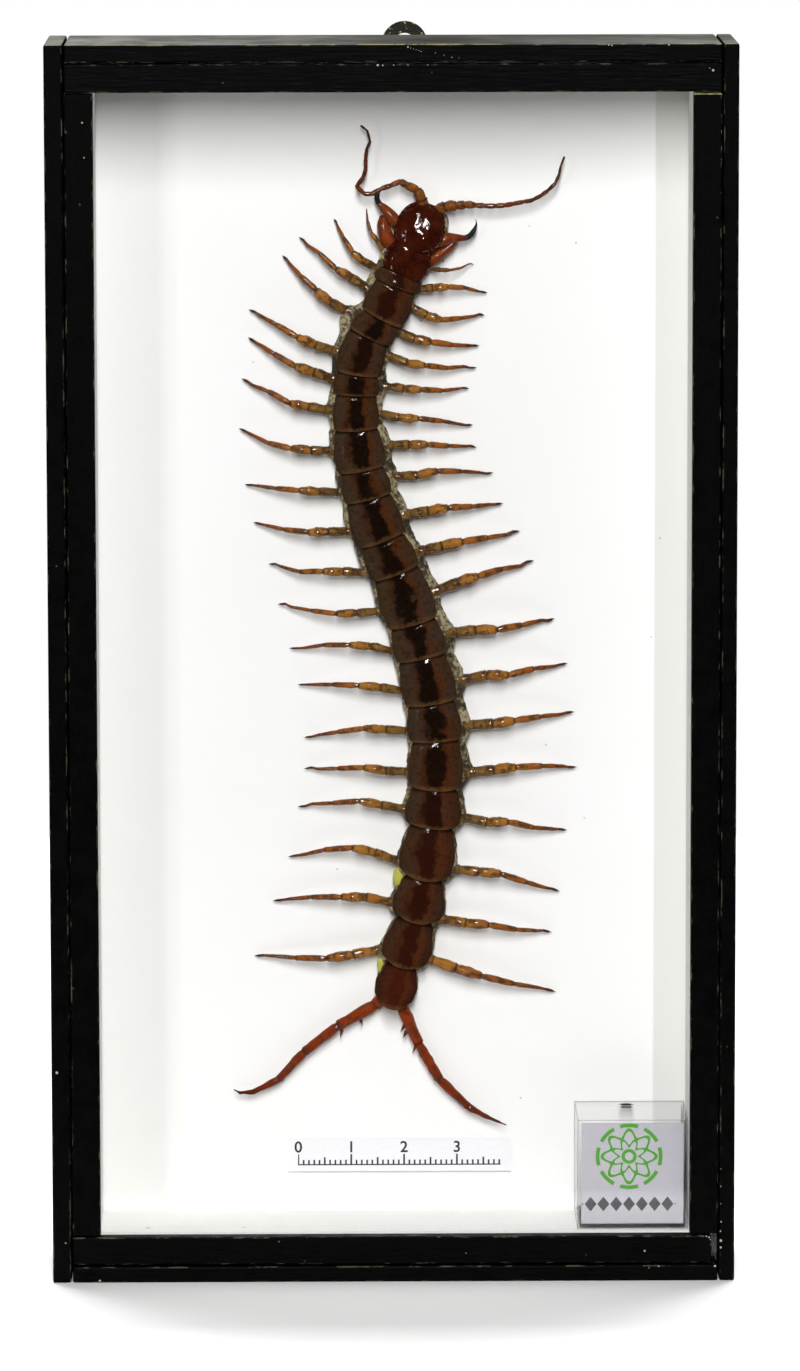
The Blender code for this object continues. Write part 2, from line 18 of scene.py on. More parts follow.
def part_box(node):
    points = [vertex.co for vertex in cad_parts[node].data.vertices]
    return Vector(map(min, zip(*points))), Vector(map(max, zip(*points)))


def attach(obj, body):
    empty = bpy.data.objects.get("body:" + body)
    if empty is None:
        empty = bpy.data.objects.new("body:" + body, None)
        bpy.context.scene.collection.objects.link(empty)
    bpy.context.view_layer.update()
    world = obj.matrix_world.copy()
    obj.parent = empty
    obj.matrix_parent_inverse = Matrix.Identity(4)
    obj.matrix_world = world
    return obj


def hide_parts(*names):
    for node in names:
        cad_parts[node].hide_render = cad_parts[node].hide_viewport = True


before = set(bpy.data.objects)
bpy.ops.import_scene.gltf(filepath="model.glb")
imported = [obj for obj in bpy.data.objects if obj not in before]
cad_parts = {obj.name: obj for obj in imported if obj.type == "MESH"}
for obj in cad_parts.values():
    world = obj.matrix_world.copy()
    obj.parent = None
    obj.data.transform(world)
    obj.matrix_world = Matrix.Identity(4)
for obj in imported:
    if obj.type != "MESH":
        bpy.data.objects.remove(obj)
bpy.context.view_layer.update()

MM = 0.001
WHITE = (1, 1, 1)
TOWARDS_GLASS = Vector((0, -1, 0))

# Camera, as far and as high as the photograph was taken from
CAMERA_PLACE = (-0.0124, -1.4336, 0.3151)
CAMERA_TURN = (81.86, 0.10, -0.57)
FOCAL_LENGTH = 203.9

# Studio, in metres and watts: name, place, width, height, power and what each lamp looks at
CASE_MIDDLE = (0, 0, 0.115)
LAMPS = (
    ("strip lamp above", (0, -0.96, 0.62), 0.12, 0.62, 12.4, CASE_MIDDLE),
    ("left lamp", (-0.62, -0.95, 0.20), 0.06, 0.45, 1.1, CASE_MIDDLE),
    ("overhead lamp", (0, 0.38, 1.5), 0.9, 0.4, 42, (0, 0.1, 0)),
)
ROOM_LIGHT = 0.01
FLOOR_WIDTH = 1
FLOOR_FRONT = -0.085
FLOOR_BACK = 0.5

# Specimen: places are x and z on the backing, heights stand off the backing.
# The line along its back runs through the rear edges of some of the plates.
BACK_LINE = (
    (3.7, 190.2), (1.8, 186.4), (-1.8, 178.2), (-4.4, 174.4), (-6.2, 168),
    (-6.6, 161), (-6.1, 154), (-4.2, 144.5), (-1.7, 136.6), (1.1, 130),
    (4, 121.2), (5.9, 113.5), (7.5, 105.4), (8.2, 97.6), (8, 89.6), (7.4, 82.2),
    (5.9, 72.8), (4.2, 64.4), (1.8, 56.2), (-0.3, 48),
)
PLATE_LENGTHS = (
    4.2, 2.4, 6.7, 4.2, 7.3, 3.8, 6.6, 7.6, 5.5, 8.3, 6.7,
    10, 6.6, 8.8, 7.1, 9.2, 7.2, 10, 8.2, 8.9, 8.1,
)
PLATE_WIDTHS = (
    8.8, 9.3, 9, 8.6, 8.9, 8.8, 8.7, 9.6, 9.4, 9.9, 9.8,
    10.2, 10.1, 10.3, 10.3, 10.5, 10.8, 10.5, 10, 9.5, 8.1,
)
PLATE_LIFT = 3.6
PLATE_HALF_HEIGHT = 2.2
PLATE_REDNESS = (
    1, 0.6, 0.55, 0.35, 0.45, 0.35, 0.3, 0.25, 0.2, 0.25, 0.2,
    0.25, 0.2, 0.25, 0.3, 0.4, 0.5, 0.6, 0.6, 0.65, 1,
)
"""0 where a plate is olive-brown and 1 where it is deep red."""

FIRST_ROUND_PLATE = 14
"""From this plate on, the outlines grow rounder towards the tail."""

BELLY_LIFT = 2.3
BELLY_HALF_HEIGHT = 1.9
SKIN_SHARE = 0.44
"""Half width of the soft sides, as a share of the width of the plate over them."""
SKIN_LEFT = ((3, 0), (5, 0.65), (15, 0.6), (17, 0.2))
SKIN_RIGHT = ((3, 0), (6, 1.1), (9, 1.3), (14, 1.2), (17, 0.3))
"""How much further the soft sides bulge out, by plate number."""
LOBE_AHEAD = 3.8
LOBE_BEHIND = 2.2
"""How far a lobe at the root of a leg reaches along the body."""
STRETCHED_SKIN = (
    (-1.7, 189.4, 0.5, 1.5, 2.6), (1.35, 72.6, 1.25, 3.8, 2.4), (-2.05, 56.3, 0.85, 3.4, 2.4),
)
"""Yellow-green skin between plates: x, z, radius, length and height of each patch."""

# Legs, from the head backwards: x and z where each leaves the side, of its knee and its tip
LEGS_LEFT = (
    (-1.5, 190.9, -4, 194.8, -4.5, 198.6), (-2.7, 187.6, -7.2, 190.5, -10.6, 196.6),
    (-4.9, 184.1, -10.3, 187.8, -17.1, 193.2), (-8.4, 179.7, -14.1, 183.4, -20.2, 189.8),
    (-10.7, 172.1, -17.8, 175.2, -26.5, 179.7), (-11, 166.9, -18.5, 169.6, -26.6, 174.5),
    (-11.9, 161.1, -19.2, 162.7, -27.9, 166.8), (-11.2, 153.4, -18.9, 153.8, -28.4, 157.5),
    (-9.7, 145.6, -18, 146, -27.4, 146.9), (-8, 138.2, -16.6, 138.3, -25.8, 139.8),
    (-5.3, 130.5, -13.7, 130.5, -23, 131.9), (-2.4, 123.2, -11.1, 123.1, -21.3, 124.3),
    (0.2, 115.6, -8.4, 117.2, -19.2, 116), (1.9, 108.1, -6.4, 109.3, -17.6, 109.1),
    (3, 100.5, -5.2, 101.1, -16.5, 99.1), (2.9, 92.8, -5.1, 93.6, -16.5, 93.1),
    (2.1, 85.7, -6.4, 87.3, -17.7, 85.9), (0.9, 75.9, -8, 78.5, -19.5, 76.4),
    (-0.3, 68, -10.4, 69.3, -22.5, 68), (-2.5, 58.9, -13.5, 57.4, -26, 57.5),
)
LEGS_RIGHT = (
    (7.5, 187.4, 11, 187.4, 15.5, 187.9), (5.1, 183.6, 10.4, 184.1, 18, 182.7),
    (3.9, 180.2, 9.2, 178.1, 17.5, 178.5), (1.3, 175.7, 7.4, 173.5, 16.5, 172.8),
    (-0.4, 171.2, 6.6, 169.1, 16, 168.7), (-0.9, 165.4, 5.7, 164.7, 14.6, 164.8),
    (-2.3, 160.4, 5, 159.5, 15.3, 158), (0, 154.4, 6.9, 154.6, 16, 153.7),
    (1.1, 148.6, 8.3, 149.2, 19.1, 149), (3.3, 141.5, 10.6, 142.7, 20.9, 143.2),
    (5.7, 134.5, 13.3, 136.3, 24.1, 138), (8.9, 127.2, 16.3, 129.9, 26.7, 132.4),
    (11.8, 119.1, 19.6, 119.8, 30.6, 121.5), (13.8, 110.3, 22, 111.4, 33, 113),
    (14.9, 101.6, 23.1, 102.5, 34.3, 103.8), (15.1, 92.7, 23.3, 93.7, 34.8, 93.3),
    (13.8, 84, 22, 83, 33, 81.3), (12.1, 74.2, 20.7, 73.2, 31.6, 69.6),
    (9.6, 64.7, 18.9, 63.4, 30.1, 61.8), (7.1, 57.1, 17.8, 53.5, 30.9, 50.4),
)
LEG_HEIGHTS = (2.6, 3.2, 0.7)
"""Heights of the root, the knee and the tip of a leg."""
LEG_GIRTHS_LEFT = (0.45, 0.75, 0.85, 0.9, 0.9, 0.95, 0.9, 0.85, 0.8, 0.85, 0.8, 0.75, 0.75, 0.8,
                   0.8, 0.8, 0.8, 0.85, 0.85, 0.9)
LEG_GIRTHS_RIGHT = (0.4, 0.75, 0.8, 0.9, 0.8, 0.8, 0.8, 0.85, 0.85, 0.95, 1, 1, 1, 0.95,
                    0.95, 0.95, 0.9, 0.9, 0.9, 0.95)
LEG_JOINTS = (0, 0.21, 0.415, 0.665, 0.86, 0.925, 1)
LEG_ARTICLES = (
    ("prefemur", ((0, 0.86), (0.3, 0.98), (0.75, 1.14), (1, 1))),
    ("femur", ((0, 0.9), (0.3, 1.06), (0.55, 1.14), (0.82, 0.9), (1, 0.7))),
    ("tibia", ((0, 0.56), (0.25, 0.72), (0.75, 0.66), (1, 0.54))),
    ("tarsus", ((0, 0.43), (0.3, 0.50), (1, 0.37))),
    ("foot", ((0, 0.33), (0.4, 0.34), (1, 0.26))),
    ("claw", ((0, 0.31), (0.5, 0.27), (1, 0.04))),
)
"""Name and radii of each article from its neck to its rim."""

# The last pair of legs trails behind
TRAIL_LEFT = ((-0.6, 50.5), (-3.2, 48.3), (-10.3, 44.2), (-16.7, 39.2), (-21.5, 34),
              (-26.3, 31.6), (-28.8, 31.5), (-29.9, 32.1))
TRAIL_RIGHT = ((0.9, 50.5), (1.8, 48), (5, 40.7), (8.9, 33.9), (14.4, 28.6),
               (17.2, 27), (19.6, 25.9), (21.5, 25.1))
TRAIL_GIRTHS = (1, 1.2, 0.98, 0.9, 0.72, 0.5, 0.3, 0.12)
TRAIL_HEIGHT = 2
SPINES_LEFT = (((-6, 45.6), (-5.6, 44.3)), ((-9.5, 43.6), (-9.8, 42)))
SPINES_RIGHT = (
    ((2.4, 44.4), (1.5, 43)), ((2.8, 43.2), (1.9, 41.8)), ((4.7, 40.9), (3.7, 38.9)),
)

# Head, feelers and venom claws
HEAD_CENTRE = (5.5, 195.1)
HEAD_TILT = 22
HEAD_NOD = 12
HEAD_ROLL = -6
HEAD_LENGTH = 9.6
HEAD_WIDTH = 9.3
HEAD_HEIGHT = 4.4
HEAD_LIFT = 3.5
CHEEK = ((8.9, 198.4), (10.1, 197), (10.3, 195.4), (9.9, 193.9))
CHEEK_HEIGHT = 2.9
"""The olive edge beside the head."""
CLAW_ARTICLES = (
    (((6.2, 188.3), (9.6, 190.4), (12.3, 192.6)), 2.5,
     ((0, 1.3), (0.35, 1.2), (0.75, 0.85), (1, 0.5))),
    (((7.6, 191.8), (10.4, 193), (14, 193.1)), 3.1,
     ((0, 1.1), (0.4, 1.3), (0.75, 0.8), (1, 0.48))),
    (((0.9, 190.6), (-1.1, 194), (-1.4, 197.4)), 2.5,
     ((0, 1.2), (0.35, 1.45), (0.75, 1.25), (1, 0.7))),
    (((1.6, 195.4), (-0.2, 197.6), (-2.3, 199.7)), 3.1,
     ((0, 1.2), (0.4, 1.15), (0.75, 0.85), (1, 0.5))),
)
"""Route, height and radii of each article of the venom claws."""
CLAW_TIPS = (
    ((13.6, 193), (14.7, 193.5), (15.5, 194.6), (15.9, 195.6), (15.8, 196.6)),
    ((-2.1, 199.4), (-2.6, 200.6), (-2.2, 201.7), (-1.3, 202.4)),
)
CLAW_TIP_HEIGHT = 2.6
FEELER_LEFT = ((6.3, 197.2), (5.6, 201), (3.3, 203), (1.7, 203.9), (-1.8, 202.3), (-4.4, 201.4),
               (-6.1, 202.7), (-4.6, 205.4), (-4.6, 208.5), (-3.9, 212.3), (-5.6, 214.2))
FEELER_RIGHT = ((7.4, 197.4), (9.6, 198.8), (14.1, 199.2), (19.5, 199.2), (24.8, 200),
                (28.6, 201.3), (30.6, 203.6), (31.4, 206.2), (32.2, 208.2))
FEELER_ARTICLES = 17
FEELER_HEIGHT = 3.4
FEELER_SINK = 1.1
"""How much lower a feeler starts, inside the head."""
FEELER_GIRTHS = ((0, 1.15), (0.1, 1.12), (0.2, 0.82), (0.32, 0.52), (0.7, 0.4), (1, 0.2))

BACKING_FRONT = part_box("backing_board")[0].y / MM

# Marks of age, with painted shade at the foam's seam and a painted glint on the top stick: x, z and
# radius of each spot
BACKING_SPECKS = (
    (50.3, 136.5, 0.16), (48.7, 117.8, 0.14), (9.7, 188.6, 0.2), (-25.7, 169.8, 0.13),
    (5.6, 177.4, 0.18), (-14.9, 182.9, 0.14), (34.5, 191.9, 0.15), (25.8, 195.1, 0.12),
    (29, 97.4, 0.14), (36.2, 83.5, 0.13), (-10.3, 73.9, 0.14), (24.3, 29.9, 0.15),
)
FOAM_SEAM_SHADES = ((-46, 8.1, 0.7), (-28, 8.1, 0.5))
PAINT_CHIPS_AND_GLINT = {
    "board_top": ((3, 229.9, 0.18), (3.5, 229.7, 0.08), (4, 229.55, 0.08), (4.5, 229.4, 0.08),
                  (5, 229.25, 0.08), (5.4, 229.1, 0.09), (8, 228.8, 0.08), (9.6, 228.4, 0.08),
                  (11, 228, 0.1), (12.3, 227.9, 0.07), (39.6, 230.2, 0.16), (40.2, 230.1, 0.14),
                  (46.1, 230.3, 0.14), (50.6, 230.2, 0.18), (51.9, 230.3, 0.12)),
    # The first two spots on the top stick are a painted highlight at its corner, not chips.
    "stick_top": ((58.7, 225.5, 0.26), (58.1, 225.9, 0.1), (-2.5, 226.6, 0.25), (-1.6, 226.55, 0.16),
                  (0.4, 226.6, 0.13), (3, 226.6, 0.12), (6.6, 226.6, 0.12)),
    "stick_left": ((-56.5, 216.2, 0.2), (-56.2, 209.8, 0.15)),
    "stick_right": ((60.3, 217.3, 0.1), (60.3, 214.4, 0.11), (60.3, 214.1, 0.1), (60.3, 211.5, 0.1),
                    (60.3, 211.2, 0.11), (60.3, 210.9, 0.1), (60.3, 209.2, 0.11), (60.3, 203.1, 0.1)),
    "board_left": ((-62.5, 39.9, 0.3), (-61.1, 7.6, 0.15)),
    "board_bottom": ((-54.8, 0.4, 0.25), (59.9, 2.8, 0.25), (46.6, 2.9, 0.14), (49.4, 2.8, 0.18),
                     (47.6, 2.5, 0.1), (51.3, 2.9, 0.12)),
    "stick_bottom": ((46.8, 5.6, 0.22), (13.5, 5.3, 0.1), (57.6, 8.45, 0.14), (58.3, 8.35, 0.16),
                     (58.8, 8.15, 0.18), (59.05, 7.7, 0.14), (59.1, 6.8, 0.1)),
    "board_right": ((60.95, 7.6, 0.3), (60.85, 9.4, 0.2), (60.95, 6.3, 0.24), (61, 11.2, 0.16),
                    (60.9, 14.6, 0.13), (60.9, 17.9, 0.15), (60.9, 21.2, 0.12)),
}
FOAM_SHADED_GAP = (59, 8.6)
# Right of this x and below this z the foam is painted near-black: painted shade in the gap by the end
# of the bottom stick.
"""The foam ends here, to the right and below, so that the dark wood shows."""

INK = (0.014, 0.010, 0.016)
SCALE_START = (2, 1.2)
"""Foot of the scale's first tick, from the label's lower left corner."""
SCALE_TICKS = ((1, 1), (5, 1.5), (10, 2.1))
"""Spacing and height of each kind of tick."""
SCALE_END = 38.2
NUMBER_LIFT = 3.7

VENT_HOLE = (9.7, 3.4, 1.75)
"""The hole in the clear box's top: from its left wall, from its back and its radius."""
ROSETTE_CENTRE = (0.467, 0.67)
"""As shares of the card's width and height."""
BORDER_LEVEL = 0.195
LOZENGE_SPACING = 2.4

MARKS = ("along", "across", "tone")
"""Numbers that each point of the specimen carries for its material."""


def softbox(name, place, width, height, power, target):
    """A rectangular lamp that looks at a target. The camera doesn't see it."""
    lamp = bpy.data.lights.new(name, "AREA")
    lamp.shape = "RECTANGLE"
    lamp.size = width
    lamp.size_y = height
    lamp.energy = power
    lamp_object = bpy.data.objects.new(name, lamp)
    bpy.context.scene.collection.objects.link(lamp_object)
    lamp_object.location = place
    lamp_object.rotation_euler = (Vector(target) - Vector(place)).to_track_quat("-Z", "Y").to_euler()
    lamp_object.visible_camera = False


def camera():
    """The camera, where the photograph was taken from."""
    view = bpy.data.cameras.new("camera")
    view.lens = FOCAL_LENGTH
    view.clip_start = 0.01
    made = bpy.data.objects.new("camera", view)
    made.location = CAMERA_PLACE
    made.rotation_euler = [math.radians(angle) for angle in CAMERA_TURN]
    bpy.context.scene.collection.objects.link(made)
    bpy.context.scene.camera = made


def surroundings():
    """A white studio that lights the case only faintly by itself."""
    made = bpy.data.worlds.new("surroundings")
    bpy.context.scene.world = made
    made.use_nodes = True
    nodes = made.node_tree.nodes
    links = made.node_tree.links
    felt, seen = nodes["Background"], nodes.new("ShaderNodeBackground")
    for light in (felt, seen):
        light.inputs["Color"].default_value = (*WHITE, 1)
    felt.inputs["Strength"].default_value = ROOM_LIGHT
    paths = nodes.new("ShaderNodeLightPath")
    choice = nodes.new("ShaderNodeMixShader")
    links.new(paths.outputs["Is Camera Ray"], choice.inputs["Fac"])
    links.new(felt.outputs["Background"], choice.inputs[1])
    links.new(seen.outputs["Background"], choice.inputs[2])
    links.new(choice.outputs["Shader"], nodes["World Output"].inputs["Surface"])


def floor():
    """The pale floor that the case stands on."""
    bpy.ops.mesh.primitive_plane_add(size=1)
    made = bpy.context.object
    made.name = "floor"
    made.scale = (FLOOR_WIDTH, FLOOR_BACK - FLOOR_FRONT, 1)
    made.location = (0, (FLOOR_BACK + FLOOR_FRONT) / 2, 0)
    white = Shader("floor_white", Base_Color=(0.9, 0.9, 0.9), Roughness=0.9)
    made.data.materials.append(white.material)


def maths_node(operation, turned=False):
    """One of the operators of a socket; turned is for a number that stands before it."""
    def work(socket, other):
        values = (other, socket) if turned else (socket, other)
        return socket.shader.maths(operation, *values)

    return work


class Socket:
    """A number or colour inside a material. Sums on it become Maths nodes."""

    __add__, __radd__ = maths_node("ADD"), maths_node("ADD", turned=True)
    __sub__, __rsub__ = maths_node("SUBTRACT"), maths_node("SUBTRACT", turned=True)
    __mul__, __rmul__ = maths_node("MULTIPLY"), maths_node("MULTIPLY", turned=True)
    __pow__ = maths_node("POWER")
    most = maths_node("MAXIMUM")
    below = maths_node("LESS_THAN")

    def __init__(self, shader, link):
        self.shader = shader
        self.link = link

    def __abs__(self):
        return self.shader.maths("ABSOLUTE", self)

    def wrapped(self, span):
        """Repeats every span, from minus half a span to plus half a span."""
        return self.shader.maths("WRAP", self, -span / 2, span / 2)

    def within(self, low, high):
        """0 at low, 1 at high and smooth between them; high may be the smaller one."""
        return self.shader.node("MapRange", {"interpolation_type": "SMOOTHSTEP"},
                                {0: self, 1: low, 2: high, 3: 0, 4: 1})


class Shader:
    """A material with a Principled surface, and short words for its nodes."""

    def __init__(self, name, **surface):
        self.material = bpy.data.materials.new(name)
        self.material.use_nodes = True
        self.tree = self.material.node_tree
        self.surface = self.tree.nodes["Principled BSDF"]
        self.coords = self.node("TexCoord", output="Object")
        self.colour = None
        self.paint(**surface)

    def fill(self, node, values):
        for key, value in values.items():
            socket = node.inputs[key]
            if isinstance(value, Socket):
                self.tree.links.new(value.link, socket)
            elif socket.type == "RGBA" and len(value) == 3:
                socket.default_value = (*value, 1)
            else:
                socket.default_value = value

    def node(self, kind, settings=None, values=None, output=0):
        """Adds a node: its settings first, then the values and links of its sockets."""
        made = self.tree.nodes.new("ShaderNode" + kind)
        for key, value in (settings or {}).items():
            if key == "stops":
                self.set_stops(made.color_ramp, value)
            else:
                setattr(made, key, value)
        self.fill(made, values or {})
        return Socket(self, made.outputs[output])

    def set_stops(self, ramp, stops):
        while len(ramp.elements) < len(stops):
            ramp.elements.new(1)
        for element, (place, colour) in zip(ramp.elements, stops):
            element.position = place
            element.color = (*colour, 1)

    def paint(self, **values):
        """Links or sets sockets of the surface, with spaces written as underscores."""
        if self.colour:
            values["Base_Color"] = self.colour
        self.fill(self.surface, {key.replace("_", " "): value for key, value in values.items()})
        return self.material

    def maths(self, operation, *values):
        return self.node("Math", {"operation": operation}, dict(enumerate(values)))

    def attribute(self, name):
        return self.node("Attribute", {"attribute_name": name}, output="Fac")

    def axis(self, index):
        """One coordinate of the piece, in metres."""
        return self.node("SeparateXYZ", values={0: self.coords}, output=index)

    def stretched(self, factors):
        return self.node("VectorMath", {"operation": "MULTIPLY"},
                         {0: self.coords, 1: factors})

    def clouds(self, scale, detail=2, rough=0.5, stretch=None):
        """Noise between 0 and 1; scale counts its features per metre."""
        coords = self.stretched(stretch) if stretch else self.coords
        values = {"Vector": coords, "Scale": scale, "Detail": detail, "Roughness": rough}
        return self.node("TexNoise", values=values).within(0.28, 0.72)

    def specks(self, scale, size, share):
        """Sparse dots: cells with a dot of some size in a share of them."""
        cells = {"Vector": self.coords, "Scale": scale}
        near = self.node("TexVoronoi", values=cells, output="Distance")
        colours = self.node("TexVoronoi", values=cells, output="Color")
        pick = self.node("SeparateColor", values={0: colours})
        return near.within(size, size * 0.6) * pick.below(share)

    def spot(self, place, size):
        """1 within a size of a place, both in millimetres, with a soft rim."""
        away = self.node("VectorMath", {"operation": "DISTANCE"},
                         {0: self.coords, 1: Vector(place) * MM}, output="Value")
        return away.within(size * MM, size * MM * 0.6)

    def blend(self, share, first, second):
        return self.node("Mix", {"data_type": "RGBA"},
                         {0: share, 6: first, 7: second}, output=2)

    def over(self, share, colour):
        """Lays a colour over a share of the surface."""
        self.colour = self.blend(share, self.colour, colour)

    def ramp(self, share, *stops):
        return self.node("ValToRGB", {"stops": stops}, {0: share})

    def bump(self, height, depth, strength=1):
        """A relief; depth is in millimetres."""
        return self.node("Bump",
                         values={"Height": height, "Distance": depth * MM, "Strength": strength})


def mirrored_share(shader):
    """The share of light that a clear sheet sends back: little head on, and more aslant."""
    facing = shader.node("LayerWeight", values={"Blend": 0.5}, output="Facing")
    return 0.04 + 0.96 * facing ** 5


def black_paint(node, grain):
    """Brushed black paint on wood; grain is 0 where the wood runs along X and 2 along Z."""
    shader = Shader("black_paint_" + node, Specular_IOR_Level=0.03)
    low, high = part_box(node)
    stretch = [14, 14, 14]
    stretch[grain] = 1
    ribs = shader.clouds(120, 4, 0.6, stretch=stretch)
    mottle = shader.clouds(260, 5, 0.65)
    shader.colour = shader.blend(mottle, (0.0003, 0.0003, 0.0003), (0.0014, 0.0013, 0.0012))
    dust = shader.specks(420, 0.10, 0.09) * mottle
    shader.over(dust * 0.5, (0.22, 0.21, 0.19))
    across = shader.axis(2 - grain)
    first, last = low[2 - grain], high[2 - grain]
    rim = across.within(first + 0.35 * MM, first) + across.within(last - 0.35 * MM, last)
    rim = rim * shader.axis(1).within(low.y + 0.4 * MM, low.y + 0.1 * MM)
    stretch = [1 if axis == grain else 3 for axis in range(3)]
    dashes = shader.clouds(300, 4, 0.7, stretch=stretch)
    shader.over(rim * dashes.within(0.62, 0.85) * 0.8, (0.14, 0.13, 0.085))
    if node == "stick_right":
        end = shader.axis(2).within(high.z - 0.28 * MM, high.z - 0.16 * MM)
        shader.over(end * (0.1 + dashes * 0.8), (0.50, 0.48, 0.20))
    # Pale chips of worn paint; on the top stick, two of the spots are a painted highlight.
    for x, z, size in PAINT_CHIPS_AND_GLINT.get(node, ()):
        chip_or_glint = shader.spot((x, low.y / MM, z), size)
        shader.over(chip_or_glint, (0.42, 0.38, 0.30))
    if node in ("board_top", "board_left", "board_right"):
        dusty_top(shader, low, high)
    height = ribs * 0.7 + mottle * 0.5
    return shader.paint(Roughness=0.42 + mottle * 0.2,
                        Normal=shader.bump(height, 0.12, 0.6))


def dusty_top(shader, low, high):
    """Dust and painted top light on the upper face of the case, and an olive line where its front
    edge is worn.
    """
    top = shader.axis(2).within(high.z - 0.15 * MM, high.z - 0.03 * MM)
    # Painted top light mixed with dust: the upper face is greyer, more so towards the left.
    dust_and_top_light = shader.clouds(60, 5, 0.65) * 0.24 + 0.12
    top_light_spread = 0.3 + shader.axis(0).within(0.005, -0.03) * 0.7 + shader.axis(0).within(0.005, 0.04) * 0.35
    shader.over(top * dust_and_top_light * top_light_spread, (0.42, 0.415, 0.375))
    edge = shader.axis(1).within(low.y + 0.9 * MM, low.y + 0.3 * MM) * top
    worn = shader.clouds(160, 4, 0.7).within(0.35, 0.7)
    handled = 0.65 + abs(shader.axis(0) + 1.5 * MM).within(20 * MM, 8 * MM) * 0.3
    shader.over(edge * worn * handled, (0.22, 0.20, 0.075))


def white_foam(name, white):
    """Fine-pored foam, with painted shade at gaps in its seam and in the gap by the bottom stick;
    white is how much light it sends back.
    """
    shader = Shader(name, Specular_IOR_Level=0.2)
    pores = shader.clouds(2200, 3)
    hollow = (white - 0.06, white - 0.06, white - 0.085)
    shader.colour = shader.blend(pores, hollow, (white, white, white - 0.025))
    # Dark spots at the bottom foam's seam: painted shade of small gaps.
    for x, z, size in FOAM_SEAM_SHADES:
        seam_shade = shader.spot((x, -6, z), size)
        shader.over(seam_shade * 0.5, (0.25, 0.24, 0.22))
    # Painted shade: the foam seen through the gap at the bottom stick's end is made near-black.
    left, top = FOAM_SHADED_GAP
    gap_shade = shader.axis(0).within((left - 0.1) * MM, (left + 0.1) * MM)
    gap_shade = gap_shade * shader.axis(2).within((top + 0.1) * MM, (top - 0.1) * MM)
    shader.over(gap_shade, (0.004, 0.004, 0.004))
    return shader.paint(Roughness=0.85, Normal=shader.bump(pores, 0.08, 0.4))


def white_board():
    """The backing card, with painted shadow bands near both sides and a few specks of dirt."""
    shader = Shader("white_board")
    blush = shader.clouds(30, 2)
    fibre = shader.clouds(1500, 4, 0.6)
    shader.colour = shader.blend(blush, (0.925, 0.925, 0.905), (0.94, 0.935, 0.935))
    across = shader.axis(0)
    # Painted shadows: a darker band near the right side and a fainter one near the left, where the
    # case's sides shade the card.
    painted_side_shadows = across.within(49 * MM, 49.6 * MM) + across.within(-41 * MM, -44 * MM) * 0.5
    shader.over(painted_side_shadows, (0.74, 0.745, 0.715))
    for x, z, size in BACKING_SPECKS:
        speck = shader.spot((x, BACKING_FRONT, z), size)
        shader.over(speck, (0.03, 0.025, 0.02))
    return shader.paint(Roughness=0.75, Normal=shader.bump(fibre, 0.02, 0.1))


def hardboard():
    """Bare brown fibreboard, streaked along its height."""
    shader = Shader("hardboard")
    fibre = shader.clouds(700, 6, 0.7)
    streaks = shader.clouds(180, 4, 0.6, stretch=(1, 1, 0.3))
    stops = ((0.3, (0.07, 0.04, 0.022)), (0.55, (0.16, 0.095, 0.055)), (0.75, (0.26, 0.17, 0.10)))
    shader.colour = shader.ramp(fibre * 0.6 + streaks * 0.4, *stops)
    return shader.paint(Roughness=0.75, Normal=shader.bump(fibre, 0.15, 0.6))


def clear_glass():
    """A pane that mirrors a little and lets the rest of the light through."""
    shader = Shader("glass", Base_Color=WHITE, Metallic=1, Roughness=0)
    return shader.paint(Alpha=mirrored_share(shader) * 0.55)


def clear_plastic():
    """Thin moulded walls, with edges that catch the light and a dark bore."""
    shader = Shader("clear_plastic", Roughness=0.04)
    low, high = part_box("corner_box")
    near = []
    for index in range(3):
        along = shader.axis(index)
        near.append(along.within(low[index] + 0.22 * MM, low[index] + 0.1 * MM)
                    + along.within(high[index] - 0.22 * MM, high[index] - 0.1 * MM))
    edges = near[0] * near[1]
    for edge in (near[1] * near[2], near[0] * near[2]):
        edges = edges.most(edge)
    from_left, from_back, radius = VENT_HOLE
    bore = shader.spot((low.x / MM + from_left, high.y / MM - from_back, high.z / MM), radius)
    alpha = mirrored_share(shader) * 0.35 + edges * 0.5 + bore * 0.95
    shader.colour = shader.blend(edges, (0.92, 0.92, 0.94), (0.24, 0.23, 0.27))
    shader.over(bore, (0.004, 0.004, 0.005))
    return shader.paint(Metallic=1 - edges.most(bore), Alpha=alpha)


def label_paper():
    """Pale paper with the plain ticks of a measuring scale."""
    shader = Shader("label_paper")
    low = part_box("label_strip")[0] / MM
    fibre = shader.clouds(1200, 4)
    shader.colour = shader.blend(fibre, (0.86, 0.85, 0.885), (0.90, 0.89, 0.92))
    along = shader.axis(0) * 1000 - (low.x + SCALE_START[0])
    up = shader.axis(2) * 1000 - (low.z + SCALE_START[1])
    inked = along.within(-0.1, 0) * along.within(SCALE_END + 0.1, SCALE_END)
    for spacing, tall in SCALE_TICKS:
        near = abs(along.wrapped(spacing)).within(0.2, 0.13)
        tick = near * up.within(tall + 0.05, tall) * up.within(-0.05, 0)
        shader.over(tick * inked, INK)
    base = up.within(0.24, 0.19) * up.within(-0.05, 0) * inked
    shader.over(base, INK)
    return shader.paint(Roughness=0.6, Normal=shader.bump(fibre, 0.02, 0.3))


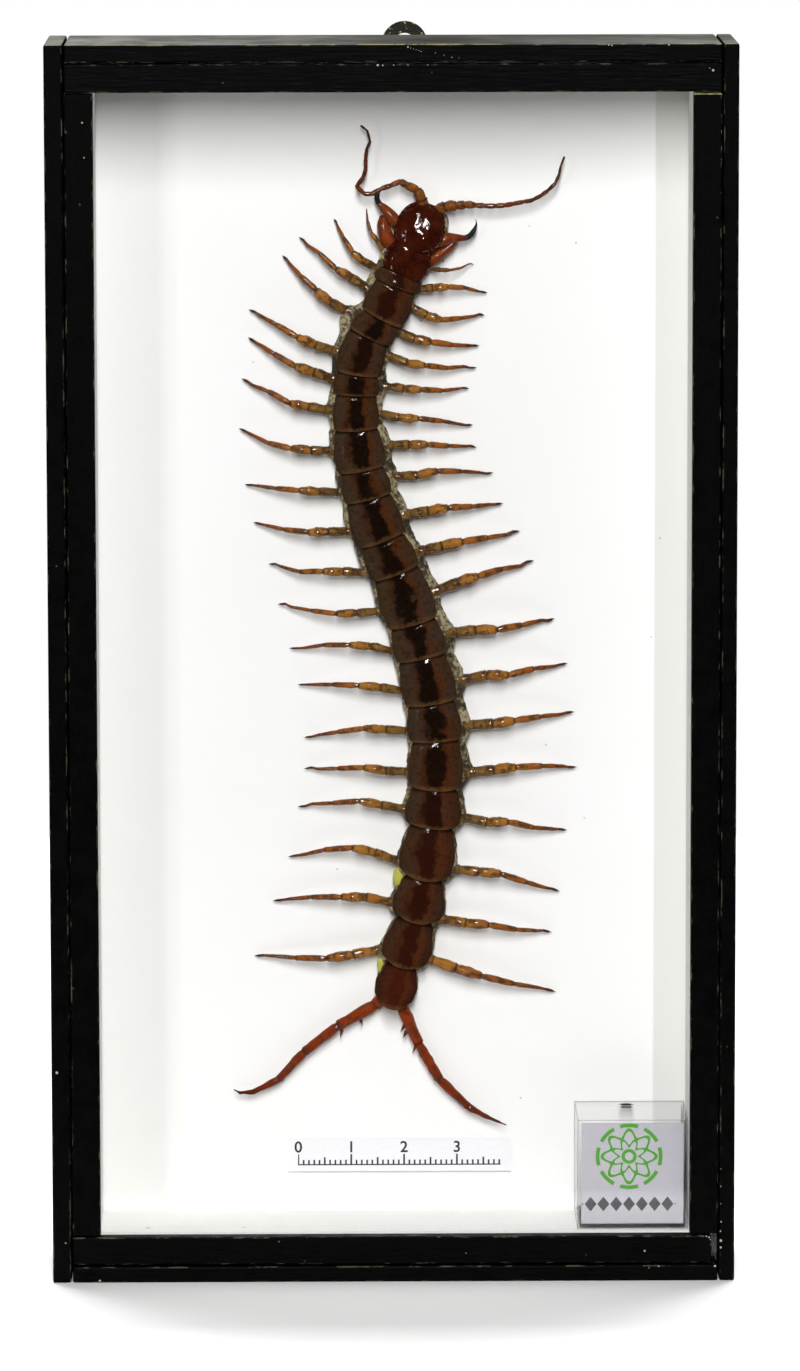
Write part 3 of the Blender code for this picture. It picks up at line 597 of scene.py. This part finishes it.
def scale_numbers():
    """The numbers of the scale, as flat ink on the label."""
    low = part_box("label_strip")[0] / MM
    row = bmesh.new()
    for count in range(4):
        text = bpy.data.curves.new("number", "FONT")
        text.body = str(count)
        text.size = 3
        text.offset = 0.05
        text.extrude = 0.006
        text.align_x = "CENTER"
        letters = bpy.data.objects.new("number", text)
        mesh = bpy.data.meshes.new_from_object(letters)
        where = (low.x + SCALE_START[0] + 10 * count, low.y - 0.012, low.z + NUMBER_LIFT)
        mesh.transform(Matrix.Translation(where) @ Matrix.Rotation(math.radians(90), 4, "X"))
        row.from_mesh(mesh)
        bpy.data.objects.remove(letters)
    bmesh.ops.scale(row, vec=(MM, MM, MM), verts=row.verts)
    mesh = bpy.data.meshes.new("scale_numbers")
    row.to_mesh(mesh)
    row.free()
    ink = Shader("ink", Base_Color=INK, Roughness=0.6)
    mesh.materials.append(ink.material)
    numbers = bpy.data.objects.new("scale_numbers", mesh)
    bpy.context.scene.collection.objects.link(numbers)
    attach(numbers, "root")


def card_stock():
    """Satin card with a plain rosette in green line and a border of dark lozenges."""
    shader = Shader("corner_card")
    low, high = (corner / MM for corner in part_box("corner_card"))
    width, height = high.x - low.x, high.z - low.z
    fibre = shader.clouds(900, 4)
    across = (shader.axis(0) * 1000 - low.x) * (1 / width)
    up = (shader.axis(2) * 1000 - low.z) * (1 / height)
    sheen = up * 0.6 + across * 0.4
    shader.colour = shader.blend(sheen, (0.56, 0.545, 0.595), (0.49, 0.475, 0.525))
    shader.over(fibre * 0.3, (0.62, 0.61, 0.63))
    x = (across - ROSETTE_CENTRE[0]) * width
    z = (up - ROSETTE_CENTRE[1]) * height
    radius = shader.maths("SQRT", x * x + z * z)
    angle = shader.maths("ARCTAN2", z, x)
    waves = shader.maths("COSINE", angle * 8)
    lines = abs(radius - 5.9).within(0.42, 0.3) * waves.within(-0.75, -0.6)
    for curve in (radius - (4.3 + waves * 0.75), radius - (2.6 - waves * 0.7), radius - 1.1):
        lines = lines.most(abs(curve).within(0.38, 0.26))
    shader.over(lines, (0.085, 0.36, 0.030))
    lozenge = abs(x.wrapped(LOZENGE_SPACING)) + abs((up - BORDER_LEVEL) * height) * 0.8
    inside = across.within(0, 0.02) * across.within(0.93, 0.91)
    shader.over(lozenge.within(1.17, 1.09) * inside, INK)
    return shader.paint(Roughness=0.45, Normal=shader.bump(fibre, 0.02, 0.3))


def blackened_metal():
    """Black lacquer on brass, rubbed through in spots."""
    shader = Shader("hanger_plate", Metallic=1)
    wear = shader.clouds(900, 5, 0.7)
    shader.colour = shader.blend(wear.within(0.72, 0.95), (0.012, 0.012, 0.010), (0.45, 0.32, 0.14))
    return shader.paint(Roughness=0.3 + wear * 0.3,
                        Normal=shader.bump(wear, 0.03, 0.5))


def nail_steel():
    """Dull steel with brown stains."""
    shader = Shader("nail_steel", Metallic=1)
    stain = shader.clouds(1500, 4)
    shader.colour = shader.blend(stain.within(0.4, 0.7), (0.33, 0.32, 0.30), (0.17, 0.13, 0.10))
    return shader.paint(Roughness=0.25 + stain * 0.4)


def plate_shell():
    """Back plates: near-black along the middle, brown towards the sides, amber at the rims, with a
    painted sheen on the left flank and painted shade at each plate's front.
    """
    shader = Shader("plate_shell", IOR=1.45, Specular_IOR_Level=0, Coat_Roughness=0.06)
    along, across, tone = (shader.attribute(name) for name in MARKS)
    patches = shader.clouds(330, 4, 0.6)
    fine = shader.clouds(1500, 4, 0.6)
    aside = abs(across) + (patches - 0.5) * 0.35
    # The left flank is painted greyer than the right: a painted sheen.
    left = shader.blend(tone, (0.047, 0.030, 0.015), (0.044, 0.0135, 0.0055))
    right = shader.blend(tone, (0.044, 0.026, 0.0125), (0.042, 0.0110, 0.0050))
    flank = shader.blend(across.within(-0.3, 0.3), right, left)
    middle = shader.blend(tone.within(0.3, 1), (0.0070, 0.0029, 0.0014), (0.050, 0.0085, 0.0030))
    shader.colour = shader.blend(aside.within(0.2, 0.72), middle, flank)
    warm = aside.within(0.25, 0.42) * aside.within(0.72, 0.48)
    warm = warm * (0.3 + across.within(0.2, -0.2) * 0.3)
    shader.over(warm, (0.085, 0.023, 0.006))
    greyed = shader.clouds(170, 2).within(0.4, 0.7) * aside.within(0.15, 0.6) * (1 - tone)
    shader.over(greyed * 0.55, (0.040, 0.029, 0.021))
    shader.over(fine.within(0.5, 0.9) * 0.5, (0.012, 0.007, 0.004))
    rim = (along + (fine - 0.5) * 0.08).within(0.88, 0.97)
    edge = abs(across).within(0.955, 0.99)
    worn = 0.35 + patches * 0.35
    shader.over(rim.most(edge) * worn, (0.125, 0.060, 0.020))
    # Painted shade at the front of each plate, under the rim of the plate before it.
    shader.over(along.within(0.07, 0) * 0.8, (0.005, 0.0025, 0.0015))
    height = patches * 0.6 + fine * 0.15
    gloss = (0.08 + fine.within(0.42, 0.6) * 0.8) * (0.25 + aside.within(0.5, 0.25) * 0.75)
    gloss = gloss * (0.25 + shader.axis(2).within(80 * MM, 125 * MM) * 0.75)
    gloss = gloss * (0.2 + shader.clouds(110, 1).within(0.35, 0.65) * 0.8)
    return shader.paint(Roughness=0.42 + patches * 0.15, Coat_Weight=gloss,
                        Normal=shader.bump(height, 0.12, 0.6))


def head_shell():
    """The polished dark red shell of the head and the first plate."""
    shader = Shader("head_shell", IOR=1.5, Specular_IOR_Level=0, Coat_Roughness=0.05)
    patches = shader.clouds(300, 4, 0.6)
    fine = shader.clouds(1500, 3, 0.6)
    shader.colour = shader.blend(patches, (0.022, 0.0026, 0.0010), (0.055, 0.0085, 0.0028))
    height = patches * 0.4 + fine * 0.6
    return shader.paint(Roughness=0.3 + patches * 0.15,
                        Coat_Weight=0.02 + fine.within(0.54, 0.63) * 0.98,
                        Normal=shader.bump(height, 0.13, 0.6))


def side_skin():
    """Wrinkled olive skin of the flanks, yellower where it is stretched."""
    shader = Shader("side_skin", IOR=1.45, Specular_IOR_Level=0.35)
    tone = shader.attribute("tone")
    grains = shader.clouds(1300, 5, 0.65)
    patches = shader.clouds(300, 3)
    stops = ((0.34, (0.022, 0.015, 0.007)), (0.48, (0.085, 0.062, 0.028)),
             (0.58, (0.18, 0.142, 0.070)), (0.7, (0.34, 0.29, 0.17)))
    shader.colour = shader.ramp(grains * 0.55 + patches * 0.45, *stops)
    shader.over(tone * 0.92, (0.52, 0.52, 0.08))
    return shader.paint(Roughness=0.45, Normal=shader.bump(grains, 0.2, 0.7))


def limb_shell(name, stops, joint_colour, rough=0.28, mottle=0.75, haze=0.12, flecks=0.3, shine=0.45):
    """Horn of the legs: its colour runs along the limb and darkens at the joints."""
    shader = Shader(name, IOR=1.5, Specular_IOR_Level=shine * 0.3, Specular_Tint=(1, 0.55, 0.22),
                    Coat_Roughness=haze)
    along, tone = shader.attribute("along"), shader.attribute("tone")
    fine = shader.clouds(1300, 4, 0.6)
    patches = shader.clouds(620, 3, 0.6)
    shader.colour = shader.ramp(along + (fine - 0.5) * 0.08, *stops)
    shader.over(patches.within(0.42, 0.72) * mottle, joint_colour)
    shader.over(fine.within(0.72, 0.95) * flecks, (0.42, 0.25, 0.10))
    shader.over(tone * 0.85, joint_colour)
    return shader.paint(Roughness=rough + fine * 0.15,
                        Coat_Weight=patches.within(0.4, 0.6) * (shine * 1.8),
                        Normal=shader.bump(fine * 0.6 + patches * 0.6, 0.14, 0.7))


def smooth_line(points, per_span):
    """Points along a smooth curve through the given ones."""
    ends = [2 * points[0] - points[1], *points, 2 * points[-1] - points[-2]]
    line = []
    for a, b, c, d in zip(ends, ends[1:], ends[2:], ends[3:]):
        for step in range(per_span):
            t = step / per_span
            line.append((2 * b + (c - a) * t + (2 * a - 5 * b + 4 * c - d) * t ** 2
                         + (3 * b - a - 3 * c + d) * t ** 3) / 2)
    return [*line, points[-1]]


def clamp(value, low=0, high=1):
    return min(max(value, low), high)


class Line:
    """A smooth curve that is read by its length."""

    def __init__(self, points, per_span=12):
        self.points = smooth_line(points, per_span)
        self.marks = [0]
        for a, b in pairwise(self.points):
            self.marks.append(self.marks[-1] + (b - a).length)
        self.length = self.marks[-1]

    def at(self, distance):
        """The point and the direction at a distance from the start, or beyond an end."""
        index = clamp(bisect_left(self.marks, distance), 1, len(self.marks) - 1)
        a, b = self.points[index - 1], self.points[index]
        span = self.marks[index] - self.marks[index - 1]
        share = (distance - self.marks[index - 1]) / span
        before = self.points[max(index - 2, 0)]
        after = self.points[min(index + 1, len(self.points) - 1)]
        direction = (b - before).normalized().lerp((after - a).normalized(), clamp(share))
        return a + (b - a) * share, direction.normalized()

    def axes_at(self, distance):
        """The point at a distance, with the ways across the line and up to the glass."""
        centre, along = self.at(distance)
        across = along.cross(TOWARDS_GLASS).normalized()
        return centre, across, across.cross(along).normalized()


def place(x, z, height):
    """A point of the specimen, in millimetres."""
    return Vector((x, BACKING_FRONT - height, z))


def laid(route, height):
    """A smooth line through points that all stand off the backing by one height."""
    return Line([place(x, z, height) for x, z in route])


def profile(stops, x):
    """A value read from stops with smooth steps between them."""
    if x <= stops[0][0]:
        return stops[0][1]
    for (x0, y0), (x1, y1) in pairwise(stops):
        if x <= x1:
            t = (x - x0) / (x1 - x0)
            return y0 + (y1 - y0) * t * t * (3 - 2 * t)
    return stops[-1][1]


def swell(value, power):
    """Rounds a sine or cosine off into a fuller section, for a power below 1."""
    return math.copysign(abs(value) ** power, value)


def crinkle(point, scale, depth):
    """A shift by smooth noise; scale is the size of its lumps in millimetres."""
    return noise.noise(point / scale) * depth


@cache
def ball(sides, rings):
    """A round mesh with its poles at both ends, which every closed skin starts from."""
    bm = bmesh.new()
    bmesh.ops.create_uvsphere(bm, u_segments=sides, v_segments=rings, radius=1)
    mesh = bpy.data.meshes.new("ball")
    bm.to_mesh(mesh)
    bm.free()
    return mesh


class Form:
    """A mesh in the making: closed skins, with marks that its material reads."""

    def __init__(self, name):
        self.name = name
        self.bm = bmesh.new()
        self.layers = [self.bm.verts.layers.float.new(mark) for mark in MARKS]

    def skin(self, sides, rings, shape):
        """A ball whose points move to shape(ring, angle), which also gives the marks."""
        first = len(self.bm.verts)
        self.bm.from_mesh(ball(sides, rings))
        self.bm.verts.ensure_lookup_table()
        for vert in self.bm.verts[first:]:
            ring = round(math.acos(clamp(vert.co.z, -1)) / math.pi * rings)
            point, marks = shape(ring, math.atan2(vert.co.y, vert.co.x))
            vert.co = point
            for layer, value in zip(self.layers, marks):
                vert[layer] = value

    def finish(self, material):
        """Turns the bmesh into a piece of the specimen, in metres."""
        bmesh.ops.recalc_face_normals(self.bm, faces=self.bm.faces)
        bmesh.ops.scale(self.bm, vec=(MM, MM, MM), verts=self.bm.verts)
        mesh = bpy.data.meshes.new(self.name)
        self.bm.to_mesh(mesh)
        self.bm.free()
        mesh.shade_smooth()
        mesh.set_sharp_from_angle(angle=math.radians(60))
        mesh.materials.append(material)
        piece = bpy.data.objects.new(self.name, mesh)
        bpy.context.scene.collection.objects.link(piece)
        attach(piece, "root")
        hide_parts("centipede")


class Trunk:
    """The line along the body, cut into the lengths of its plates."""

    def __init__(self, lift):
        self.line = laid(BACK_LINE, lift)
        self.scale = self.line.length / sum(PLATE_LENGTHS)
        self.starts = [sum(PLATE_LENGTHS[:index]) for index in range(len(PLATE_LENGTHS) + 1)]

    def mark(self, index, share):
        """How far along the body a share of one plate's length is."""
        return (self.starts[index] + share * PLATE_LENGTHS[index]) * self.scale

    def at(self, index, share):
        """The middle of the body, the way across and the way up, within one plate."""
        return self.line.axes_at(self.mark(index, share))


PLATE_RINGS = (
    (-0.06, 0), (-0.06, 0.8), (-0.05, 0.97),
    *((share, 1) for share in (-0.02, 0.02, 0.06, 0.1, 0.15, 0.22, 0.3, 0.4, 0.5, 0.6, 0.7, 0.79,
                               0.86, 0.92, 0.96)),
    (0.985, 0.99), (1, 0.965), (1, 0.93), (0.985, 0.9), (0.96, 0),
)
"""Share of the plate's length and size of the section there, from end to end."""
FIRST_PLATE_REACH = 2.1
"""How far the front of the first plate is drawn out, to go under the head."""


def plate_skin(form, trunk, index):
    """One back plate: it starts under the plate before it and ends in a thin raised rim."""
    width = PLATE_WIDTHS[index] / 2
    late = clamp((index - FIRST_ROUND_PLATE) / 4)
    outline = ((-0.06, 0.80 - 0.12 * late), (0.1, 0.9 - 0.08 * late), (0.55, 1),
               (0.88, 0.965 - 0.03 * late), (1, 0.90 - 0.16 * late))
    if index == len(PLATE_LENGTHS) - 1:
        outline = ((-0.06, 0.66), (0.1, 0.8), (0.42, 1), (0.72, 0.94), (1, 0.66))
    if index == 0:
        outline = ((-0.45, 0.78), (0.1, 0.98), (0.45, 1), (0.8, 0.93), (1, 0.84))
    heights = ((-0.06, 0.76), (0.11, 0.955), (0.9, 1), (1, 0.985))
    bow = 0.03 + 0.09 * late

    def shape(ring, angle):
        share, size = PLATE_RINGS[ring]
        reach = share
        if index == 0 and share < 0.3:
            reach = 0.3 - (0.3 - share) * FIRST_PLATE_REACH
        x = swell(math.cos(angle), 0.85)
        y = swell(math.sin(angle), 0.8)
        bent = reach - bow * abs(x) ** 2.5 * max(share, 0) ** 4
        centre, across, up = trunk.at(index, bent)
        y *= 1 if y > 0 else 0.45
        y -= 0.008 * math.exp(-((abs(x) - 0.32) / 0.05) ** 2) * (y > 0)
        point = centre + across * x * width * size * profile(outline, reach)
        point += up * y * PLATE_HALF_HEIGHT * size * profile(heights, share)
        point += up * crinkle(point, 2.2, 0.1)
        return point, (share, x, PLATE_REDNESS[index])

    form.skin(40, len(PLATE_RINGS) - 1, shape)


def plates():
    """The back plates behind the first one, which belongs to the head's shell."""
    form = Form("centipede_plates")
    trunk = Trunk(PLATE_LIFT)
    for index in range(1, len(PLATE_LENGTHS)):
        plate_skin(form, trunk, index)
    form.finish(plate_shell())


def lobes(trunk):
    """How far along the body each leg grows and how far out, for the left and the right."""
    found = []
    for table in (LEGS_LEFT, LEGS_RIGHT):
        side = []
        for x, z, *_ in table:
            foot = place(x, z, BELLY_LIFT)
            middles = zip(trunk.line.marks, trunk.line.points)
            mark, point = min(middles, key=lambda pair: (pair[1] - foot).length)
            side.append((mark, (point - foot).length))
        found.append(side)
    return found


def sides():
    """The soft trunk under the plates, drawn out in lobes where the legs grow."""
    form = Form("centipede_sides")
    trunk = Trunk(BELLY_LIFT)
    left_lobes, right_lobes = lobes(trunk)
    count, steps = len(PLATE_LENGTHS), 14
    rings = count * steps

    def reach_at(side, mark, width):
        reach = width
        for root, out in side:
            away = mark - root
            pull = math.exp(-(away / (LOBE_AHEAD if away < 0 else LOBE_BEHIND)) ** 2)
            reach = max(reach, width + (out + 0.2 - width) * pull)
        return reach

    def shape(ring, angle):
        index, share = min(ring // steps, count - 1), (ring % steps) / steps
        if ring == rings:
            index, share = count - 1, 0.92
        end = min(ring, rings - ring) / 5
        size = math.sin(math.pi / 2 * min(end, 1))
        centre, across, up = trunk.at(index, share)
        x = swell(math.cos(angle), 0.8)
        y = swell(math.sin(angle), 0.8)
        narrow = 1 - 0.3 * clamp((index - FIRST_ROUND_PLATE) / 6) * abs(2 * share - 1) ** 3
        side, bulge = (left_lobes, SKIN_LEFT) if x > 0 else (right_lobes, SKIN_RIGHT)
        width = PLATE_WIDTHS[index] * SKIN_SHARE * narrow + profile(bulge, index + share)
        reach = reach_at(side, trunk.mark(index, share), width)
        point = centre + across * x * reach * size + up * y * BELLY_HALF_HEIGHT * size
        away = (point - centre).normalized() if size else up
        point += away * size * (crinkle(point, 0.7, 0.24) + crinkle(point, 1.8, 0.3))
        return point, (share, x, 0)

    form.skin(40, rings, shape)
    for x, z, width, length, height in STRETCHED_SKIN:
        blob = laid(((x, z - length / 2), (x, z + length / 2)), height)
        article(form, blob, ((0, width * 0.7), (0.5, width), (1, width * 0.7)), tone=1)
    article(form, laid(CHEEK, CHEEK_HEIGHT), ((0, 0.4), (0.5, 0.5), (1, 0.35)))
    form.finish(side_skin())


ARTICLE_RINGS = (
    (0, 0), (0, 0.6), (0.015, 0.85), (0.05, 0.98), (0.12, 1), (0.22, 1), (0.34, 1),
    (0.48, 1), (0.62, 1), (0.75, 1), (0.85, 1), (0.92, 1.03), (0.96, 1.07),
    (0.985, 1.02), (1, 0.8), (1, 0.45), (0.99, 0),
)
"""Share of an article's length and size of the section there, from neck to rim."""
NECK_SHADE = ((0, 1), (0.1, 0))
RIM_SHADE = ((0.9, 0), (0.98, 1))
"""How dark an article is near its ends."""


def article(form, line, girths, reach=(0, 1), sides=12, tone=0, lumps=0.16):
    """One article of a limb along a line, with its radii in stops from neck to rim."""
    first, last = reach

    def shape(ring, angle):
        share, size = ARTICLE_RINGS[ring]
        centre, across, up = line.axes_at(share * line.length)
        radius = profile(girths, share) * size
        away = across * math.cos(angle) + up * math.sin(angle)
        point = centre + away * radius
        point += away * radius * crinkle(point, 0.8, lumps)
        joint = max(profile(NECK_SHADE, share), profile(RIM_SHADE, share))
        return point, (first + (last - first) * share, share, max(joint, tone))

    form.skin(sides, len(ARTICLE_RINGS) - 1, shape)


def overlapped(start, end, overlap):
    """A straight line whose neck goes a little into the article before it."""
    return Line([start + (start - end).normalized() * overlap, end], per_span=1)


def legs():
    """Twenty pairs of walking legs, each of a hip, five straight articles and a claw."""
    form = Form("centipede_legs")
    for table, sizes in ((LEGS_LEFT, LEG_GIRTHS_LEFT), (LEGS_RIGHT, LEG_GIRTHS_RIGHT)):
        for number, (leg, thick) in enumerate(zip(table, sizes)):
            warm = 0.09 * max(number - 16, 0)
            curve = Line([place(*spot) for spot in zip(leg[::2], leg[1::2], LEG_HEIGHTS)])
            joints = [curve.at(share * curve.length)[0] for share in LEG_JOINTS]
            for joint in joints[1:-1]:
                joint.z += crinkle(joint, 1.3, 0.55)
            hip = overlapped(joints[0], joints[0].lerp(joints[1], 0.15), 1.6)
            article(form, hip, ((0, 1.5 * thick), (1, 1.02 * thick)), (0, 0.02))
            spans = zip(LEG_ARTICLES, pairwise(LEG_JOINTS), pairwise(joints))
            for (name, radii), reach, (start, end) in spans:
                girths = [(share, radius * thick) for share, radius in radii]
                reach = [warm + (1 - warm) * share for share in reach]
                tone = 1 if name == "claw" else 0
                article(form, overlapped(start, end, 0.2), girths, reach, tone=tone)
    stops = ((0, (0.125, 0.070, 0.022)), (0.16, (0.170, 0.088, 0.022)),
             (0.27, (0.27, 0.110, 0.018)), (0.41, (0.34, 0.140, 0.022)),
             (0.46, (0.27, 0.088, 0.014)), (0.66, (0.24, 0.068, 0.010)),
             (0.9, (0.16, 0.034, 0.008)), (1, (0.03, 0.006, 0.003)))
    form.finish(limb_shell("leg_shell", stops, (0.036, 0.012, 0.004)))


def trailing_legs():
    """The last pair, longer and thicker than the walking legs, with spines near the body."""
    form = Form("centipede_last_legs")
    for route, spines in ((TRAIL_LEFT, SPINES_LEFT), (TRAIL_RIGHT, SPINES_RIGHT)):
        joints = [place(x, z, TRAIL_HEIGHT) for x, z in route]
        whole = Line(joints, per_span=1)
        reaches = [mark / whole.length for mark in whole.marks]
        spans = zip(pairwise(joints), pairwise(TRAIL_GIRTHS), pairwise(reaches))
        for (start, end), (neck, rim), reach in spans:
            girths = ((0, neck * 0.82), (0.25, neck), (0.7, rim * 1.06), (1, rim * 0.95))
            article(form, overlapped(start, end, 0.4), girths, reach, sides=16)
        for spine in spines:
            article(form, laid(spine, TRAIL_HEIGHT), ((0, 0.42), (1, 0.05)), sides=8, tone=0.6)
    stops = ((0, (0.22, 0.034, 0.007)), (0.5, (0.18, 0.024, 0.004)),
             (0.85, (0.14, 0.017, 0.004)), (1, (0.02, 0.005, 0.003)))
    form.finish(limb_shell("last_leg_shell", stops, (0.040, 0.009, 0.004), rough=0.22,
                           mottle=0.45, haze=0.1, flecks=0.08, shine=0.25))


def head():
    """The head plate, which nods over the first back plate, and that plate itself."""
    form = Form("centipede_head")
    turn = (Matrix.Rotation(math.radians(HEAD_TILT), 3, "Y")
            @ Matrix.Rotation(math.radians(-HEAD_NOD), 3, "X")
            @ Matrix.Rotation(math.radians(HEAD_ROLL), 3, "Z"))
    centre = place(*HEAD_CENTRE, HEAD_LIFT)
    rings = 40

    def shape(ring, angle):
        lean = math.pi * ring / rings
        forward = swell(math.cos(lean), 0.9)
        section = math.sin(lean) ** 0.8 if 0 < ring < rings else 0
        x = section * swell(math.cos(angle), 0.9) * (1 - 0.07 * forward)
        y = section ** 0.8 * swell(math.sin(angle), 0.62)
        y *= 1 if y > 0 else 0.6
        y -= 0.05 * math.exp(-(x / 0.03) ** 2) * (y > 0) * (forward < -0.2)
        offset = Vector((x * HEAD_WIDTH / 2, -y * HEAD_HEIGHT / 2, forward * HEAD_LENGTH / 2))
        point = centre + turn @ offset
        point.y -= crinkle(point, 2.5, 0.14) + crinkle(point, 0.9, 0.02)
        return point, (forward, x, 1)

    form.skin(56, rings, shape)
    plate_skin(form, Trunk(PLATE_LIFT - 0.35), 0)
    form.finish(head_shell())


def feelers():
    """Two feelers of short beads that taper to their tips."""
    form = Form("centipede_feelers")
    for route in (FEELER_LEFT, FEELER_RIGHT):
        (root_x, root_z), *rest = route
        root = place(root_x, root_z, FEELER_HEIGHT - FEELER_SINK)
        line = Line([root, *(place(x, z, FEELER_HEIGHT) for x, z in rest)])
        marks = [index / FEELER_ARTICLES for index in range(FEELER_ARTICLES + 1)]
        joints = [line.at(mark * line.length)[0] for mark in marks]
        for joint in joints[1:]:
            joint.z += crinkle(joint, 1.1, 0.45)
            joint.x += crinkle(joint, 0.9, 0.45)
        for (start, end), (first, last) in zip(pairwise(joints), pairwise(marks)):
            neck, rim = (profile(FEELER_GIRTHS, mark) for mark in (first, last))
            girths = ((0, neck * 0.8), (0.6, neck * 1.02), (1, rim * 1.02))
            article(form, overlapped(start, end, 0.25), girths, (first, last), sides=10)
    stops = ((0, (0.045, 0.014, 0.005)), (0.05, (0.17, 0.068, 0.014)),
             (0.2, (0.18, 0.052, 0.010)), (0.5, (0.13, 0.025, 0.008)), (1, (0.060, 0.009, 0.004)))
    form.finish(limb_shell("feeler_shell", stops, (0.035, 0.010, 0.005), shine=0.3))


def venom_claws():
    """The pair of venom claws at the sides of the head, with black tips."""
    form = Form("centipede_venom_claws")
    for route, height, girths in CLAW_ARTICLES:
        article(form, laid(route, height), girths, sides=20, lumps=0.1)
    stops = ((0, (0.11, 0.018, 0.005)), (0.45, (0.20, 0.038, 0.009)), (1, (0.13, 0.022, 0.006)))
    form.finish(limb_shell("venom_claw_shell", stops, (0.040, 0.008, 0.004), rough=0.2,
                           mottle=0.45, haze=0.14, flecks=0.1, shine=0.3))
    tips = Form("centipede_venom_claw_tips")
    for route in CLAW_TIPS:
        line = laid(route, CLAW_TIP_HEIGHT)
        article(tips, line, ((0, 0.58), (0.4, 0.5), (1, 0.06)), tone=1, lumps=0.03)
    black = Shader("claw_black", Base_Color=(0.004, 0.003, 0.004), Roughness=0.16,
                   Specular_IOR_Level=0.2)
    tips.finish(black.material)


def finish_case():
    """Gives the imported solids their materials."""
    finishes = {
        "glass_pane": clear_glass(), "backing_board": white_board(), "back_panel": hardboard(),
        "label_strip": label_paper(), "corner_box": clear_plastic(), "corner_card": card_stock(),
        "hanger_plate": blackened_metal(),
    }
    for wood in ("board", "stick"):
        for side, grain in (("left", 2), ("right", 2), ("top", 0), ("bottom", 0)):
            finishes[f"{wood}_{side}"] = black_paint(f"{wood}_{side}", grain)
    # The same foam in two copies: darker at the sides and top and lighter at the bottom, as painted
    # shade and painted light.
    foam, steel = white_foam("white_foam", 0.84), nail_steel()
    finishes.update({f"foam_{side}": foam for side in ("left", "right", "top")})
    finishes["foam_bottom"] = white_foam("white_foam_bottom_painted_lighter", 0.93)
    finishes.update({f"nail_{side}": steel for side in ("left", "right")})
    for name, finish in finishes.items():
        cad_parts[name].material_slots[0].material = finish


bpy.context.scene.view_settings.view_transform = "Standard"
camera()
surroundings()
floor()
for lamp in LAMPS:
    softbox(*lamp)
finish_case()
scale_numbers()
plates()
sides()
legs()
trailing_legs()
head()
feelers()
venom_claws()
